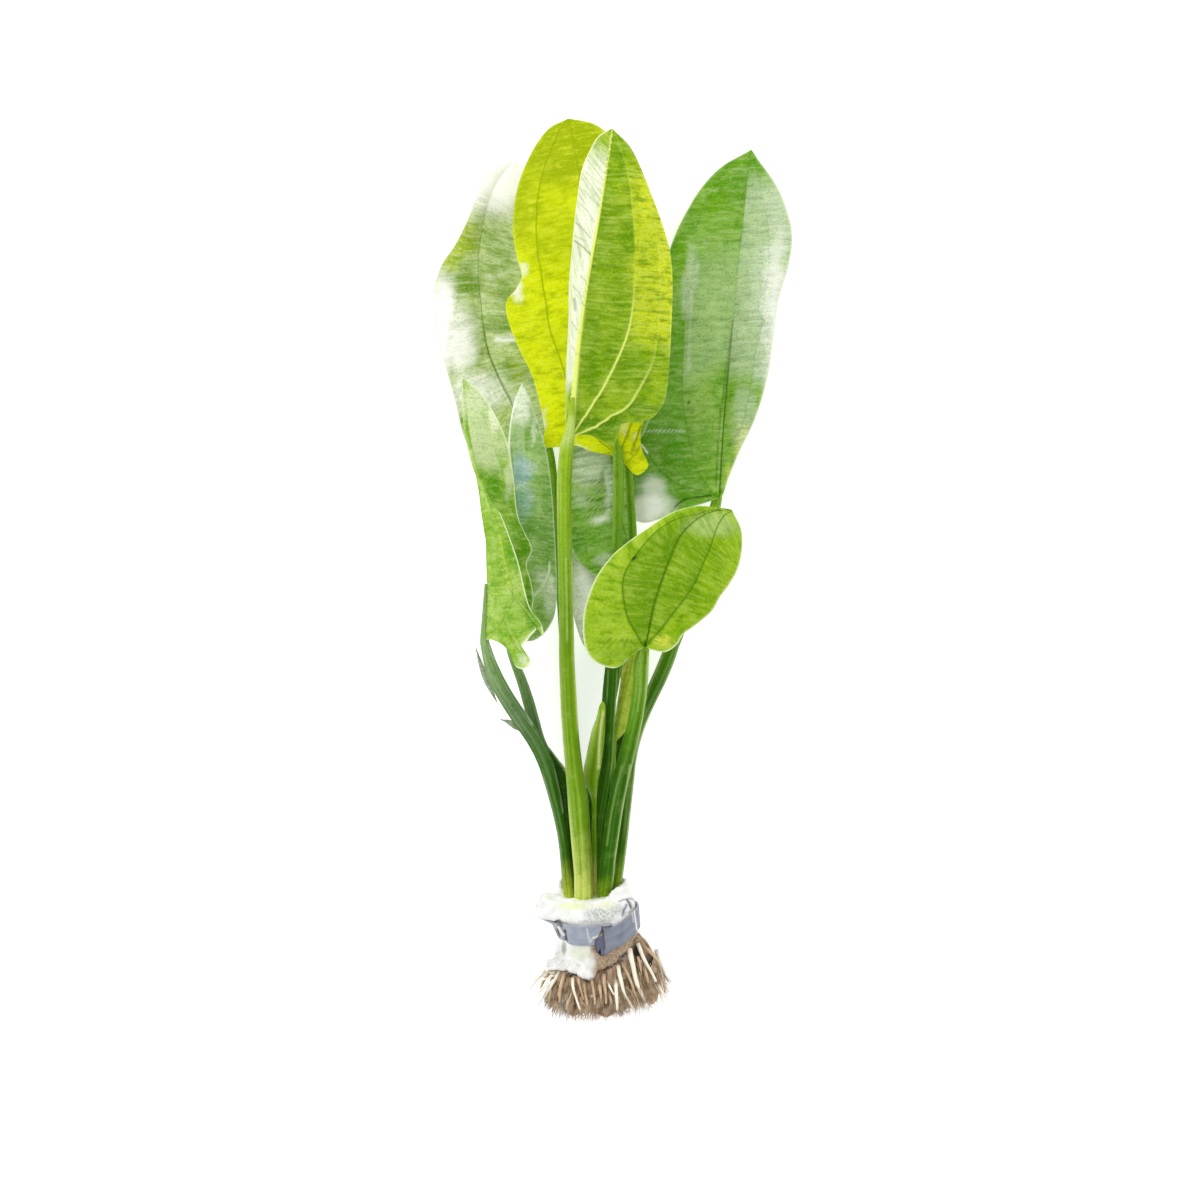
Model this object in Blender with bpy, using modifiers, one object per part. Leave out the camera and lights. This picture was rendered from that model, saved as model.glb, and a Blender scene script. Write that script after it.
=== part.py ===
"""A bare-root Echinodorus plant as it is sold, lying on its back.

Each leaf is a blade on its own stem. All stems rise from one crown, which is wrapped in foam that a metal
weight strip holds, and the roots come out below the wrap. The roots point to -Y and the leaf tips to +Y, and
the plant rests on the surface at height 0. Lists of places are in millimetres from the point of the surface
below the crown, as (right, along, height). The model's origin is the middle of its outline.
"""
import math

import bmesh
import bpy
from mathutils import Matrix, Vector

MM = 0.001
LEAF_THICKNESS = 0.9
REST_HEIGHT = LEAF_THICKNESS / 2 + 0.02
LARGE_GRID = (6, 16)
SMALL_GRID = (4, 12)
STEM_SECTIONS = 10
CENTRE_OF_OUTLINE = (9.15, 150.8)

CROWN_CENTRE = Vector((0.5, 0.0, 22.0))
AXIS_TILT = math.radians(9)
AXIS_LEAN = math.radians(5)

FOAM_BORE = 15.7
FOAM_SEGMENTS = 28
FOAM_RADIUS = 18.5
FOAM_CORNER = 5.5
STRIP_THICKNESS = 0.8
STRIP_WIDTH = 11.5
STRIP_RADIUS = 19.3
STRIP_GROWTH = 1.15
STRIP_START = 10
STRIP_SWEEP = 432
PINCH_ANGLE = 150
PINCH_HEIGHT = 1.6
PINCH_WIDTH = 7
SURFACE_BLOCK = (100.0, 10.0)
MAT_RADIUS = 18.6
CLEARANCE = 0.9
PRESSED = 0.05

LEAF_GREEN = (0.16, 0.42, 0.03, 1.0)
LEAF_YELLOW = (0.62, 0.68, 0.02, 1.0)
LEAF_PALE = (0.42, 0.58, 0.30, 1.0)
LEAF_DEEP = (0.10, 0.30, 0.06, 1.0)
STEM_GREEN = (0.14, 0.34, 0.03, 1.0)
STEM_LIGHT = (0.36, 0.52, 0.06, 1.0)
FOAM_WHITE = (0.86, 0.87, 0.84, 1.0)
STRIP_GREY = (0.27, 0.29, 0.37, 1.0)
ROOT_BROWN = (0.33, 0.22, 0.13, 1.0)

# Blades. Each is given by its midrib and by its two margins, which start at the stem, run round the basal
# lobes and meet again at the tip. A belly is how far a half bulges between midrib and margin.
LEAVES = {
    "front_leaf": {
        "midrib": [(-9.5, 209, 74), (-7.5, 230.5, 79), (-5, 253.5, 83), (-1.5, 278.5, 87), (2, 301.5, 88),
                   (5, 321, 87), (8.5, 339.5, 84)],
        "left": [(-9.5, 209, 74), (-10.5, 216.5, 66), (-10.5, 236.5, 61), (-8, 265.5, 59), (-5.5, 291.5, 61),
                 (-3.5, 312.5, 66), (0, 329, 74), (4, 336.5, 80), (8.5, 339.5, 84)],
        "right": [(-9.5, 209, 74), (-2, 209.5, 73), (4, 207.5, 71), (8.5, 205, 70), (11, 209.5, 70),
                  (13, 214.5, 70), (20.5, 215.5, 70), (27.5, 218.5, 71), (32, 228.5, 73), (34, 258.5, 77),
                  (34, 281.5, 80), (31, 295.5, 82), (24.5, 313, 84), (17, 330, 85), (8.5, 339.5, 84)],
        "grid": LARGE_GRID,
        "belly": ((-2.0, 0, 1.0), (0, 0, 2.5)),
        "colour": LEAF_GREEN,
    },
    "yellow_leaf": {
        "midrib": [(12.5, 203, 33), (8.5, 224, 36), (4.5, 250.5, 40), (1, 277, 42), (-2.5, 304, 42),
                   (-7, 333.5, 40), (-11, 355.5, 36)],
        "left": [(12.5, 203, 33), (7, 204, 31), (-0.5, 205.5, 30), (-7.5, 208, 30), (-16, 207.5, 30),
                 (-22.5, 208, 31), (-22, 215, 33), (-24, 226.5, 34), (-27.5, 239.5, 34), (-33.5, 252, 34),
                 (-38.5, 265, 34), (-39, 273, 35), (-34.5, 278.5, 37), (-32, 284, 38), (-34, 292, 38),
                 (-36, 305, 37), (-34.5, 322, 37), (-28.5, 338.5, 37), (-20.5, 350.5, 36), (-11, 355.5, 36)],
        "right": [(12.5, 203, 33), (15.5, 198.5, 34), (20, 194.5, 35), (25, 198.5, 34), (22.5, 205, 34),
                  (21.5, 212, 34), (23.5, 220.5, 34), (30.5, 235.5, 34), (33, 260.5, 34), (31.5, 292, 34),
                  (25, 319, 35), (15, 339, 36), (2.5, 352, 36), (-11, 355.5, 36)],
        "grid": LARGE_GRID,
        "belly": ((0, 0, 1.0), (0, 0, 1.0)),
        "colour": LEAF_YELLOW,
    },
    "back_left_leaf": {
        "midrib": [(-21, 208.5, 12), (-32, 219.5, 9), (-40, 233.5, 5), (-46, 246, 2), (-50.5, 260, 0.5),
                   (-53, 279, 0), (-54, 296.5, 0), (-52, 312.5, 2), (-48.5, 324.5, 8), (-43.5, 334, 11),
                   (-37, 341.5, 13)],
        "left": [(-21, 208.5, 12), (-29.5, 203, 10), (-41, 200.5, 7), (-53, 203.5, 4), (-60, 213, 2),
                 (-64.5, 229.5, 1), (-69, 246, 1), (-73, 262.5, 1), (-75.5, 279, 1), (-72, 294, 2),
                 (-65, 304.5, 3), (-57.5, 318.5, 6), (-54, 327, 9), (-48, 336.5, 12), (-37, 341.5, 13)],
        "right": [(-21, 208.5, 12), (-14.5, 211.5, 10), (-7, 219.5, 8), (-3.5, 234, 6), (-1.5, 255, 5),
                  (-2.5, 278.5, 5), (-8.5, 301.5, 6), (-18, 322, 9), (-27, 335.5, 12), (-37, 341.5, 13)],
        "grid": LARGE_GRID,
        "belly": ((0, 0, 1.5), (0, 0, 2.0)),
        "colour": LEAF_PALE,
    },
    "back_right_leaf": {
        "midrib": [(58.5, 185, 14), (60, 208, 9), (62, 231.5, 4), (64.5, 255.5, 1), (66.5, 276.5, 0),
                   (68.5, 297.5, 0), (70.5, 316, 2), (72, 334, 8), (73.5, 347, 13)],
        "left": [(58.5, 185, 14), (52, 183, 13), (44, 180.5, 12), (33.5, 176.5, 10), (24, 174, 8), (18, 177, 7),
                 (15.5, 187, 6), (15, 201, 6), (16.5, 217.5, 6), (20, 236, 6), (24.5, 255, 5), (29, 273.5, 5),
                 (33, 292.5, 5), (38, 308, 6), (43.5, 319, 8), (50.5, 330, 10), (60, 339.5, 12),
                 (73.5, 347, 13)],
        "right": [(58.5, 185, 14), (60.5, 187.5, 14), (63, 194.5, 13), (68.5, 207.5, 11), (75.5, 222, 9),
                  (81.5, 241, 6), (84.5, 260, 4), (87, 278.5, 3), (91.5, 293.5, 3), (93.5, 306.5, 4),
                  (91.5, 318, 6), (85.5, 331.5, 9), (73.5, 347, 13)],
        "grid": LARGE_GRID,
        "belly": ((0, 0, 2.0), (0, 0, 1.5)),
        "colour": LEAF_GREEN,
    },
    "folded_leaf": {
        "midrib": [(-47.5, 120, 60), (-46, 138, 62), (-46.5, 162, 64), (-49, 181.5, 64), (-52, 199, 63),
                   (-55, 217, 61), (-57, 235.5, 57)],
        "left": [(-47.5, 120, 60), (-39, 122, 53), (-29.5, 128, 50), (-26.5, 137, 50), (-27.5, 146, 50),
                 (-29.5, 153.5, 50), (-27, 160.5, 50), (-30, 167.5, 50), (-33.5, 175.5, 50), (-35, 191, 51),
                 (-38, 207.5, 52), (-44, 221, 54), (-50, 230, 56), (-57, 235.5, 57)],
        "right": [(-47.5, 120, 60), (-41.5, 120.5, 66), (-36.5, 117, 70), (-32.5, 113, 72), (-29, 110, 72),
                  (-26, 114.5, 72), (-21.5, 120.5, 71), (-22.5, 126, 71), (-26.5, 134, 73), (-30.5, 147, 75),
                  (-33.5, 158, 76), (-37, 169.5, 76), (-41.5, 176.5, 74), (-46, 183, 71), (-50.5, 191, 67),
                  (-53.5, 201.5, 64), (-56, 217, 61), (-57, 235.5, 57)],
        "grid": LARGE_GRID,
        "belly": ((0, 0, -2.0), (-1.0, 0, 2.0)),
        "colour": LEAF_GREEN,
    },
    "inner_leaf": {
        "midrib": [(-39, 121, 37), (-35.5, 138, 39), (-32.5, 156, 41), (-31, 174, 42), (-30, 191.5, 43),
                   (-30.5, 209.5, 43), (-31.5, 223, 42), (-32, 235.5, 39)],
        "left": [(-39, 121, 37), (-42, 126.5, 36), (-43, 142.5, 37), (-42, 160.5, 38), (-39.5, 178.5, 39),
                 (-38, 192, 40), (-38, 203, 41), (-37.5, 214, 42), (-35.5, 226, 41), (-32, 235.5, 39)],
        "right": [(-39, 121, 37), (-33, 119.5, 35), (-27, 119.5, 34), (-22, 123, 33), (-18, 129.5, 33),
                  (-16.5, 138, 34), (-16.5, 151.5, 35), (-17.5, 169.5, 36), (-19, 192, 38), (-21, 204.5, 39),
                  (-24, 215.5, 40), (-28, 227, 40), (-32, 235.5, 39)],
        "grid": LARGE_GRID,
        "belly": ((0, 0, 0.5), (0, 0, 1.0)),
        "colour": LEAF_PALE,
    },
    "small_leaf": {
        "midrib": [(23, 117.5, 68), (26.5, 135.5, 73), (30, 147, 75), (34, 157.5, 77), (38, 166, 78),
                   (45, 173, 78), (53, 176.5, 76), (60.5, 176.5, 74)],
        "left": [(23, 117.5, 68), (19, 115.5, 69), (15.5, 112.5, 70), (10, 108.5, 71), (3, 110, 73),
                 (-2, 114.5, 74), (-4, 122.5, 75), (-3.5, 133.5, 77), (1, 146.5, 79), (8, 156.5, 80),
                 (15, 162.5, 81), (24, 169, 81), (32.5, 174.5, 81), (41, 177.5, 80), (50.5, 178, 77),
                 (60.5, 176.5, 74)],
        "right": [(23, 117.5, 68), (26.5, 116, 68), (32, 115.5, 69), (36.5, 118.5, 69), (39.5, 123, 69),
                  (45.5, 127.5, 69), (52, 133, 69), (55.5, 139, 69), (59.5, 144.5, 69), (63, 151, 69),
                  (65, 159.5, 70), (64.5, 168.5, 72), (60.5, 176.5, 74)],
        "grid": LARGE_GRID,
        "belly": ((0, 0, 2.0), (0, 0, 2.0)),
        "colour": LEAF_GREEN,
    },
    "middle_leaf": {
        "midrib": [(19, 155.5, 16), (15, 168, 17), (11.5, 184, 17), (9, 200.5, 17), (6, 216.5, 16),
                   (2.5, 234, 15)],
        "left": [(19, 155.5, 16), (13.5, 149.5, 15), (7, 147, 14), (1, 149, 14), (-6, 155, 14),
                 (-10.5, 163.5, 14), (-13.5, 177.5, 15), (-14, 193.5, 15), (-11.5, 209.5, 15), (-7, 223.5, 15),
                 (2.5, 234, 15)],
        "right": [(19, 155.5, 16), (20.5, 163.5, 15), (19.5, 179.5, 15), (18.5, 193.5, 15), (16.5, 207.5, 15),
                  (11.5, 223.5, 15), (2.5, 234, 15)],
        "grid": SMALL_GRID,
        "belly": ((0, 0, 1.0), (0, 0, 0.5)),
        "colour": LEAF_PALE,
    },
    "hidden_leaf": {
        "midrib": [(15.5, 205, 29), (13.5, 229, 30), (11, 256.5, 30), (8, 283.5, 30), (3, 313.5, 28)],
        "left": [(15.5, 205, 29), (10, 209, 28), (3, 220, 28), (-2.5, 238.5, 28), (-6, 261, 28), (-7, 284, 28),
                 (-4, 302, 28), (3, 313.5, 28)],
        "right": [(15.5, 205, 29), (21.5, 211, 29), (27, 224.5, 29), (28.5, 242.5, 29), (28, 265.5, 28),
                  (24, 288.5, 28), (14.5, 306, 28), (3, 313.5, 28)],
        "grid": SMALL_GRID,
        "belly": ((0, 0, 0.5), (0, 0, 0.5)),
        "colour": LEAF_DEEP,
    },
    "low_leaf": {
        "midrib": [(7, 119.5, 9), (4.5, 138, 9), (3, 156.5, 9), (2, 180, 8), (-0.5, 202.5, 7)],
        "left": [(7, 119.5, 9), (2.5, 114.5, 8), (-3, 115, 8), (-6.5, 121.5, 8), (-9.5, 132.5, 8),
                 (-10, 143.5, 8), (-10, 159, 8), (-9.5, 177.5, 8), (-6, 193, 7), (-0.5, 202.5, 7)],
        "right": [(7, 119.5, 9), (10.5, 122, 9), (12.5, 135.5, 9), (11.5, 154, 8), (9.5, 173, 8),
                  (5.5, 191.5, 7), (-0.5, 202.5, 7)],
        "grid": SMALL_GRID,
        "belly": ((0, 0, 0.5), (0, 0, 0.5)),
        "colour": LEAF_PALE,
    },
    "young_leaf": {
        "midrib": [(9.5, 71.5, 22), (13.5, 90, 24), (18, 109.5, 26), (21.5, 129.5, 26)],
        "left": [(9.5, 71.5, 22), (10, 82, 22), (12, 95.5, 23), (15, 114, 25), (21.5, 129.5, 26)],
        "right": [(9.5, 71.5, 22), (15.5, 79, 23), (20.5, 92, 25), (24.5, 110.5, 26), (21.5, 129.5, 26)],
        "grid": SMALL_GRID,
        "belly": ((0, 0, -1.0), (0, 0, -1.0)),
        "colour": LEAF_YELLOW,
    },
}

# Stems, from the crown to the blade. Radii are at the crown, along the stem and where the blade begins.
STEMS = {
    "front_stem": {
        "path": [(-5, 1.5, 30), (-7, 34, 37), (-9, 68.5, 45), (-11, 102, 53), (-11.5, 133.5, 60),
                 (-11, 172.5, 69), (-9.4, 210.5, 77.8)],
        "radii": (4.0, 3.5, 2.6),
        "colour": STEM_LIGHT,
    },
    "yellow_stem": {
        "path": [(0, 0, 21.5), (4, 42, 25), (7, 71.5, 28), (9, 108.5, 31), (11.5, 147, 33), (12.5, 174, 35),
                 (12.3, 204, 36.6)],
        "radii": (3.1, 3.0, 2.0),
        "colour": STEM_LIGHT,
    },
    "back_left_stem": {
        "path": [(-4.5, -1, 14), (-10, 72.5, 10), (-14.5, 138, 9), (-17.5, 175, 9), (-21, 209.3, 9.1)],
        "radii": (2.7, 2.4, 1.8),
        "colour": STEM_GREEN,
    },
    "back_right_stem": {
        "path": [(11.5, 0.5, 24), (16, 37, 22), (24.5, 82.5, 19), (38.5, 115.5, 16), (51.5, 152, 13),
                 (58.6, 186.5, 10.9)],
        "radii": (3.2, 3.2, 2.0),
        "colour": STEM_GREEN,
    },
    "folded_stem": {
        "path": [(-11, 0.5, 25.5), (-13, 19.5, 28), (-17, 45, 33), (-26, 72.5, 40), (-35.5, 90, 47),
                 (-42.5, 102.5, 53), (-45.5, 111.5, 57), (-47.5, 119.3, 59.8)],
        "radii": (2.8, 2.8, 1.8),
        "colour": STEM_GREEN,
    },
    "inner_stem": {
        "path": [(-10.5, -0.5, 17.5), (-14, 27.5, 20), (-18.5, 53, 23), (-23.5, 75, 27), (-28, 88.5, 30),
                 (-33.5, 100.5, 33), (-37.5, 110.5, 34), (-38.8, 122.5, 34.5)],
        "radii": (2.4, 2.3, 1.6),
        "colour": STEM_GREEN,
    },
    "small_stem": {
        "path": [(4, 1.5, 29.5), (8, 34, 38), (14, 64.5, 47), (20, 88.5, 56), (22.5, 103, 61),
                 (23.4, 119, 65.4)],
        "radii": (3.2, 2.8, 2.0),
        "colour": STEM_GREEN,
    },
    "middle_stem": {
        "path": [(2, -1.5, 12), (4.5, 45, 12.5), (9, 91.5, 12.5), (14.5, 128.5, 13), (18.4, 156.5, 13.5)],
        "radii": (2.6, 2.4, 1.6),
        "colour": STEM_GREEN,
    },
    "hidden_stem": {
        "path": [(6, -0.5, 17.7), (6, 50, 18), (6.5, 92, 18), (11, 126.5, 20), (18, 156.5, 23), (18, 170, 24),
                 (16.5, 193, 26), (15.4, 206.5, 26.6)],
        "radii": (2.0, 1.9, 1.5),
        "colour": STEM_GREEN,
    },
    "low_stem": {
        "path": [(10.2, -1, 15.5), (12.8, 45, 13), (16, 80, 11), (13.5, 105, 7), (7, 120.5, 6.6)],
        "radii": (2.2, 2.2, 1.5),
        "colour": STEM_GREEN,
    },
    "young_stem": {
        "path": [(6, 0.5, 23.4), (7.6, 28, 22.2), (9, 50.5, 21.3), (9.5, 70.8, 22)],
        "radii": (1.4, 1.4, 1.1),
        "colour": STEM_LIGHT,
    },
}

SHOOT_PATH = [(-0.5, 0.5, 26.3), (-1.5, 24, 29), (-2, 47, 32), (0, 63, 33), (2.5, 76.5, 34), (4, 91, 34)]
SHOOT_RADII = [1.1, 1.6, 2.8, 3.4, 2.2, 0.4]
STEM_BOTTOM = -13.5

# Main roots: angle about the crown's axis where each leaves the mat, angle at its tip, and the tip's place
# along the axis and from it.
ROOTS = [(178, 184, -36, 31), (160, 170, -40, 30), (145, 152, -42, 29), (128, 134, -44, 27),
         (116, 116, -46, 24), (100, 96, -51, 23), (84, 84, -46, 25), (76, 72, -47, 25.5), (64, 59, -44.5, 27),
         (52, 46, -42, 29), (40, 33, -38, 31), (24, 16, -44, 31), (6, 0, -36, 33), (-18, -26, -40, 31),
         (-44, -50, -44, 28), (-70, -64, -46, 25), (-96, -98, -45, 24), (-122, -126, -44, 26),
         (-150, -154, -39, 30)]
ROOT_RADIUS = 0.9
ROOT_SECTIONS = 5
SOFT_HEIGHT = 5.0


def clear_scene():
    for item in list(bpy.data.objects):
        bpy.data.objects.remove(item, do_unlink=True)


def make_collection(name):
    collection = bpy.data.collections.new(name)
    bpy.context.scene.collection.children.link(collection)
    return collection


def make_material(name, colour, roughness, metallic=0.0):
    material = bpy.data.materials.new(name)
    material.use_nodes = True
    shader = material.node_tree.nodes["Principled BSDF"]
    shader.inputs["Base Color"].default_value = colour
    shader.inputs["Roughness"].default_value = roughness
    shader.inputs["Metallic"].default_value = metallic
    return material


def spline_point(points, segment, part):
    """A Catmull-Rom point between two neighbours, with the ends carried on straight."""
    last = len(points) - 1
    a = points[segment]
    b = points[segment + 1]
    before = points[segment - 1] if segment > 0 else a * 2 - b
    after = points[segment + 2] if segment + 2 <= last else b * 2 - a
    square = part * part
    cube = square * part
    return 0.5 * (2 * a + (b - before) * part + (2 * before - 5 * a + 4 * b - after) * square
                  + (3 * a - before - 3 * b + after) * cube)


def smooth_path(places, count):
    """Points at equal distances along the smooth curve through the places, from first to last."""
    points = [Vector(place) for place in places]
    steps = 12
    dense = [spline_point(points, segment, step / steps)
             for segment in range(len(points) - 1) for step in range(steps)]
    dense.append(points[-1])
    travelled = [0.0]
    for here, following in zip(dense, dense[1:]):
        travelled.append(travelled[-1] + (following - here).length)
    result = []
    at = 0
    for index in range(count + 1):
        wanted = travelled[-1] * index / count
        while at < len(dense) - 2 and travelled[at + 1] < wanted:
            at += 1
        span = travelled[at + 1] - travelled[at]
        part = (wanted - travelled[at]) / span if span else 0.0
        result.append(dense[at].lerp(dense[at + 1], min(1.0, part)))
    return result


def crown_axis():
    """The way the crown points, towards the leaves and a little up and to the left."""
    return Vector((-math.sin(AXIS_LEAN) * math.cos(AXIS_TILT), math.cos(AXIS_LEAN) * math.cos(AXIS_TILT),
                   math.sin(AXIS_TILT)))


def collar_point(angle, along, radius):
    """A place near the crown, from its angle about the tilted axis, its way along it and its radius."""
    axis = crown_axis()
    across = Vector((math.cos(AXIS_LEAN), math.sin(AXIS_LEAN), 0.0))
    up = across.cross(axis)
    pressed = radius * (1 - PRESSED * (1 - smooth_step(turned_distance(angle, 270), 10, 60)))
    return CROWN_CENTRE + axis * along + (across * math.cos(angle) + up * math.sin(angle)) * pressed


def smooth_step(value, low, high):
    part = min(1.0, max(0.0, (value - low) / (high - low)))
    return part * part * (3 - 2 * part)


def turned_distance(angle, centre):
    """Degrees between two directions about the crown's axis."""
    return abs((math.degrees(angle) - centre + 180) % 360 - 180)


def add_object(name, mesh, material, collection, parent):
    item = bpy.data.objects.new(name, mesh)
    mesh.materials.append(material)
    collection.objects.link(item)
    item.parent = parent
    return item


def add_sheet(name, columns, rows, place, thickness, material, collection, parent):
    """An open sheet whose points come from place(across, along), given its wall by Solidify."""
    mesh = bpy.data.meshes.new(name)
    grid = bmesh.new()
    bmesh.ops.create_grid(grid, x_segments=columns, y_segments=rows, size=1.0)
    for vertex in grid.verts:
        vertex.co = place(vertex.co.x, (vertex.co.y + 1) / 2) * MM
    bmesh.ops.remove_doubles(grid, verts=grid.verts, dist=0.00001)
    bmesh.ops.recalc_face_normals(grid, faces=grid.faces)
    grid.to_mesh(mesh)
    grid.free()
    mesh.shade_smooth()
    item = add_object(name, mesh, material, collection, parent)
    wall = item.modifiers.new("wall", "SOLIDIFY")
    wall.thickness = thickness * MM
    wall.offset = 0.0
    return item


def add_leaf(name, leaf, collection, parent):
    columns, rows = leaf["grid"]
    midrib = smooth_path(leaf["midrib"], rows)
    margins = (smooth_path(leaf["left"], rows), smooth_path(leaf["right"], rows))

    def place(across, along):
        row = round(along * rows)
        side = 0 if across < 0 else 1
        share = abs(across)
        bulge = Vector(leaf["belly"][side]) * math.sin(math.pi * share) * math.sin(math.pi * row / rows)
        point = midrib[row].lerp(margins[side][row], share) + bulge
        point.z = max(point.z, REST_HEIGHT)
        return point

    material = make_material(name + " green", leaf["colour"], 0.35)
    return add_sheet(name, columns, rows, place, LEAF_THICKNESS, material, collection, parent)


def add_tube(name, points, radii, sides, material, collection, parent):
    """A capped tube through the points, with its own radius at each of them."""
    data = bpy.data.curves.new(name, "CURVE")
    data.dimensions = "3D"
    data.bevel_depth = MM
    data.bevel_resolution = sides // 2 - 2
    data.use_fill_caps = True
    spline = data.splines.new("POLY")
    spline.points.add(len(points) - 1)
    for knot, point, radius in zip(spline.points, points, radii):
        knot.co = (point.x * MM, point.y * MM, point.z * MM, 1.0)
        knot.radius = radius
    item = bpy.data.objects.new(name, data)
    data.materials.append(material)
    collection.objects.link(item)
    item.parent = parent
    return item


def stem_foot(place):
    """Where a stem that passes the crown at this place ends inside the foam."""
    axis = crown_axis()
    reach = (Vector(place) - CROWN_CENTRE).dot(axis)
    return Vector(place) + axis * (STEM_BOTTOM - reach)


def add_stem(name, stem, collection, parent):
    count = STEM_SECTIONS
    points = smooth_path([stem_foot(stem["path"][0])] + stem["path"], count)
    foot_radius, middle_radius, end_radius = stem["radii"]
    radii = []
    for index in range(count + 1):
        part = index / count
        radius = foot_radius + (middle_radius - foot_radius) * min(1.0, part * 3)
        radii.append(radius + (end_radius - middle_radius) * smooth_step(part, 0.7, 1.0))
    material = make_material(name + " green", stem["colour"], 0.4)
    return add_tube(name, points, radii, 8, material, collection, parent)


def value_along(values, part):
    """A value read from an evenly spaced list, part of the way from its first to its last."""
    place = part * (len(values) - 1)
    low = min(int(place), len(values) - 2)
    return values[low] + (values[low + 1] - values[low]) * (place - low)


def add_shoot(collection, parent):
    count = STEM_SECTIONS + 2
    points = smooth_path([stem_foot(SHOOT_PATH[0])] + SHOOT_PATH, count)
    radii = [value_along(SHOOT_RADII, index / count) for index in range(count + 1)]
    material = make_material("shoot green", STEM_LIGHT, 0.4)
    return add_tube("new_shoot", points, radii, 8, material, collection, parent)


def foam_bottom(angle):
    """How far along the axis the foam reaches: long at the front left, short at the right."""
    front = 1 - smooth_step(turned_distance(angle, 138), 50, 64)
    under = 1 - smooth_step(turned_distance(angle, 235), 50, 70)
    jagged = 0.8 * math.sin(angle * 9)
    return -18.4 - (12.4 + jagged) * front - 7.5 * under * (1 - front)


def settle(point, floor):
    """Lift what would be below the surface, so that it lies just above it."""
    if point.z < SOFT_HEIGHT:
        room = SOFT_HEIGHT - floor
        point.z = floor + room * math.exp((point.z - SOFT_HEIGHT) / room)
    return point


def add_foam(collection, cutters, parent):
    """The wrap as one closed ring, folded out at its leaf end and cut flat where it rests."""
    steps = 16
    bpy.ops.mesh.primitive_torus_add(major_segments=FOAM_SEGMENTS, minor_segments=steps, major_radius=1.0,
                                     minor_radius=0.4)
    ring = bpy.context.object
    mesh = ring.data
    for vertex in mesh.vertices:
        x, y, z = vertex.co
        angle = math.atan2(y, x)
        step = round(math.atan2(z, math.hypot(x, y) - 1.0) / math.tau * steps) % steps
        corner = FOAM_CORNER * (1 - smooth_step(turned_distance(angle, 176), 4, 34))
        bottom = foam_bottom(angle)
        lower = 1.8 * (1 - smooth_step(turned_distance(angle, 262), 20, 50))
        profile = [(-12, FOAM_RADIUS), (-4.3, FOAM_RADIUS), (-3.5, 20.4 + corner * 0.8), (-2.5, 21.4 + corner),
                   (-0.4, 20.4 + corner * 0.7), (1.2, 18.8 + corner * 0.3), (3.0, 17.5), (5.0, 16.9),
                   (4.6, FOAM_BORE), (0, FOAM_BORE), (-8, FOAM_BORE), (-15, FOAM_BORE),
                   (bottom, FOAM_BORE + 0.3), (bottom + 0.3, FOAM_RADIUS - 0.3 + lower),
                   (-17.3 + (bottom + 17.3) * 0.5, FOAM_RADIUS + 0.3 + lower), (-17.3, FOAM_RADIUS)]
        along, radius = profile[step]
        vertex.co = collar_point(angle, along, radius) * MM
    shape = bmesh.new()
    shape.from_mesh(mesh)
    bmesh.ops.recalc_face_normals(shape, faces=shape.faces)
    shape.to_mesh(mesh)
    shape.free()
    mesh.shade_smooth()
    bpy.data.objects.remove(ring, do_unlink=True)
    foam = add_object("foam_wrap", mesh, make_material("foam white", FOAM_WHITE, 0.9), collection, parent)

    width, depth = SURFACE_BLOCK
    bpy.ops.mesh.primitive_cube_add(size=1.0, location=(0, 0, -depth * MM / 2))
    surface = bpy.context.object
    surface.data.transform(Matrix.Diagonal((width * MM, width * MM, depth * MM, 1)))
    surface.name = "surface_cutter"
    surface.hide_render = True
    surface.display_type = "WIRE"
    for owner in list(surface.users_collection):
        owner.objects.unlink(surface)
    cutters.objects.link(surface)
    surface.parent = parent
    press = foam.modifiers.new("pressed flat", "BOOLEAN")
    press.operation = "DIFFERENCE"
    press.solver = "EXACT"
    press.object = surface
    return foam


def strip_point(across, along):
    """The strip winds a little more than once, and its outer end lies lower than its start."""
    degrees = STRIP_START + STRIP_SWEEP * along
    turn = STRIP_SWEEP * along / 360
    pinch = PINCH_HEIGHT * math.exp(-((degrees - PINCH_ANGLE) / PINCH_WIDTH) ** 2)
    radius = STRIP_RADIUS + STRIP_GROWTH * turn + pinch
    centre = -10.6 - 1.8 * smooth_step(along, 0.3, 1.0)
    return collar_point(math.radians(degrees), centre + across * STRIP_WIDTH / 2, radius)


def add_strip(collection, parent):
    material = make_material("strip grey", STRIP_GREY, 0.45, 0.9)
    return add_sheet("weight_strip", 1, 60, strip_point, STRIP_THICKNESS, material, collection, parent)


def root_path(first_angle, tip_angle, tip_along, tip_radius):
    """A main root, from inside the mat over its surface to the free tip."""
    first_along = min(foam_bottom(math.radians(first_angle + turn)) for turn in (-14, 0, 14)) - 3
    reach = tip_along - first_along
    marks = [(0.0, first_along, 14.5), (0.1, first_along + reach * 0.15, 18.5),
             (0.5, first_along + reach * 0.5, 19 + (tip_radius - 19) * 0.65),
             (0.8, first_along + reach * 0.8, tip_radius - 0.8), (1.0, tip_along, tip_radius)]
    places = []
    for part, along, radius in marks:
        angle = math.radians(first_angle + (tip_angle - first_angle) * part)
        places.append(settle(collar_point(angle, along, radius), ROOT_RADIUS + 0.1))
    return smooth_path(places, ROOT_SECTIONS)


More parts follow.
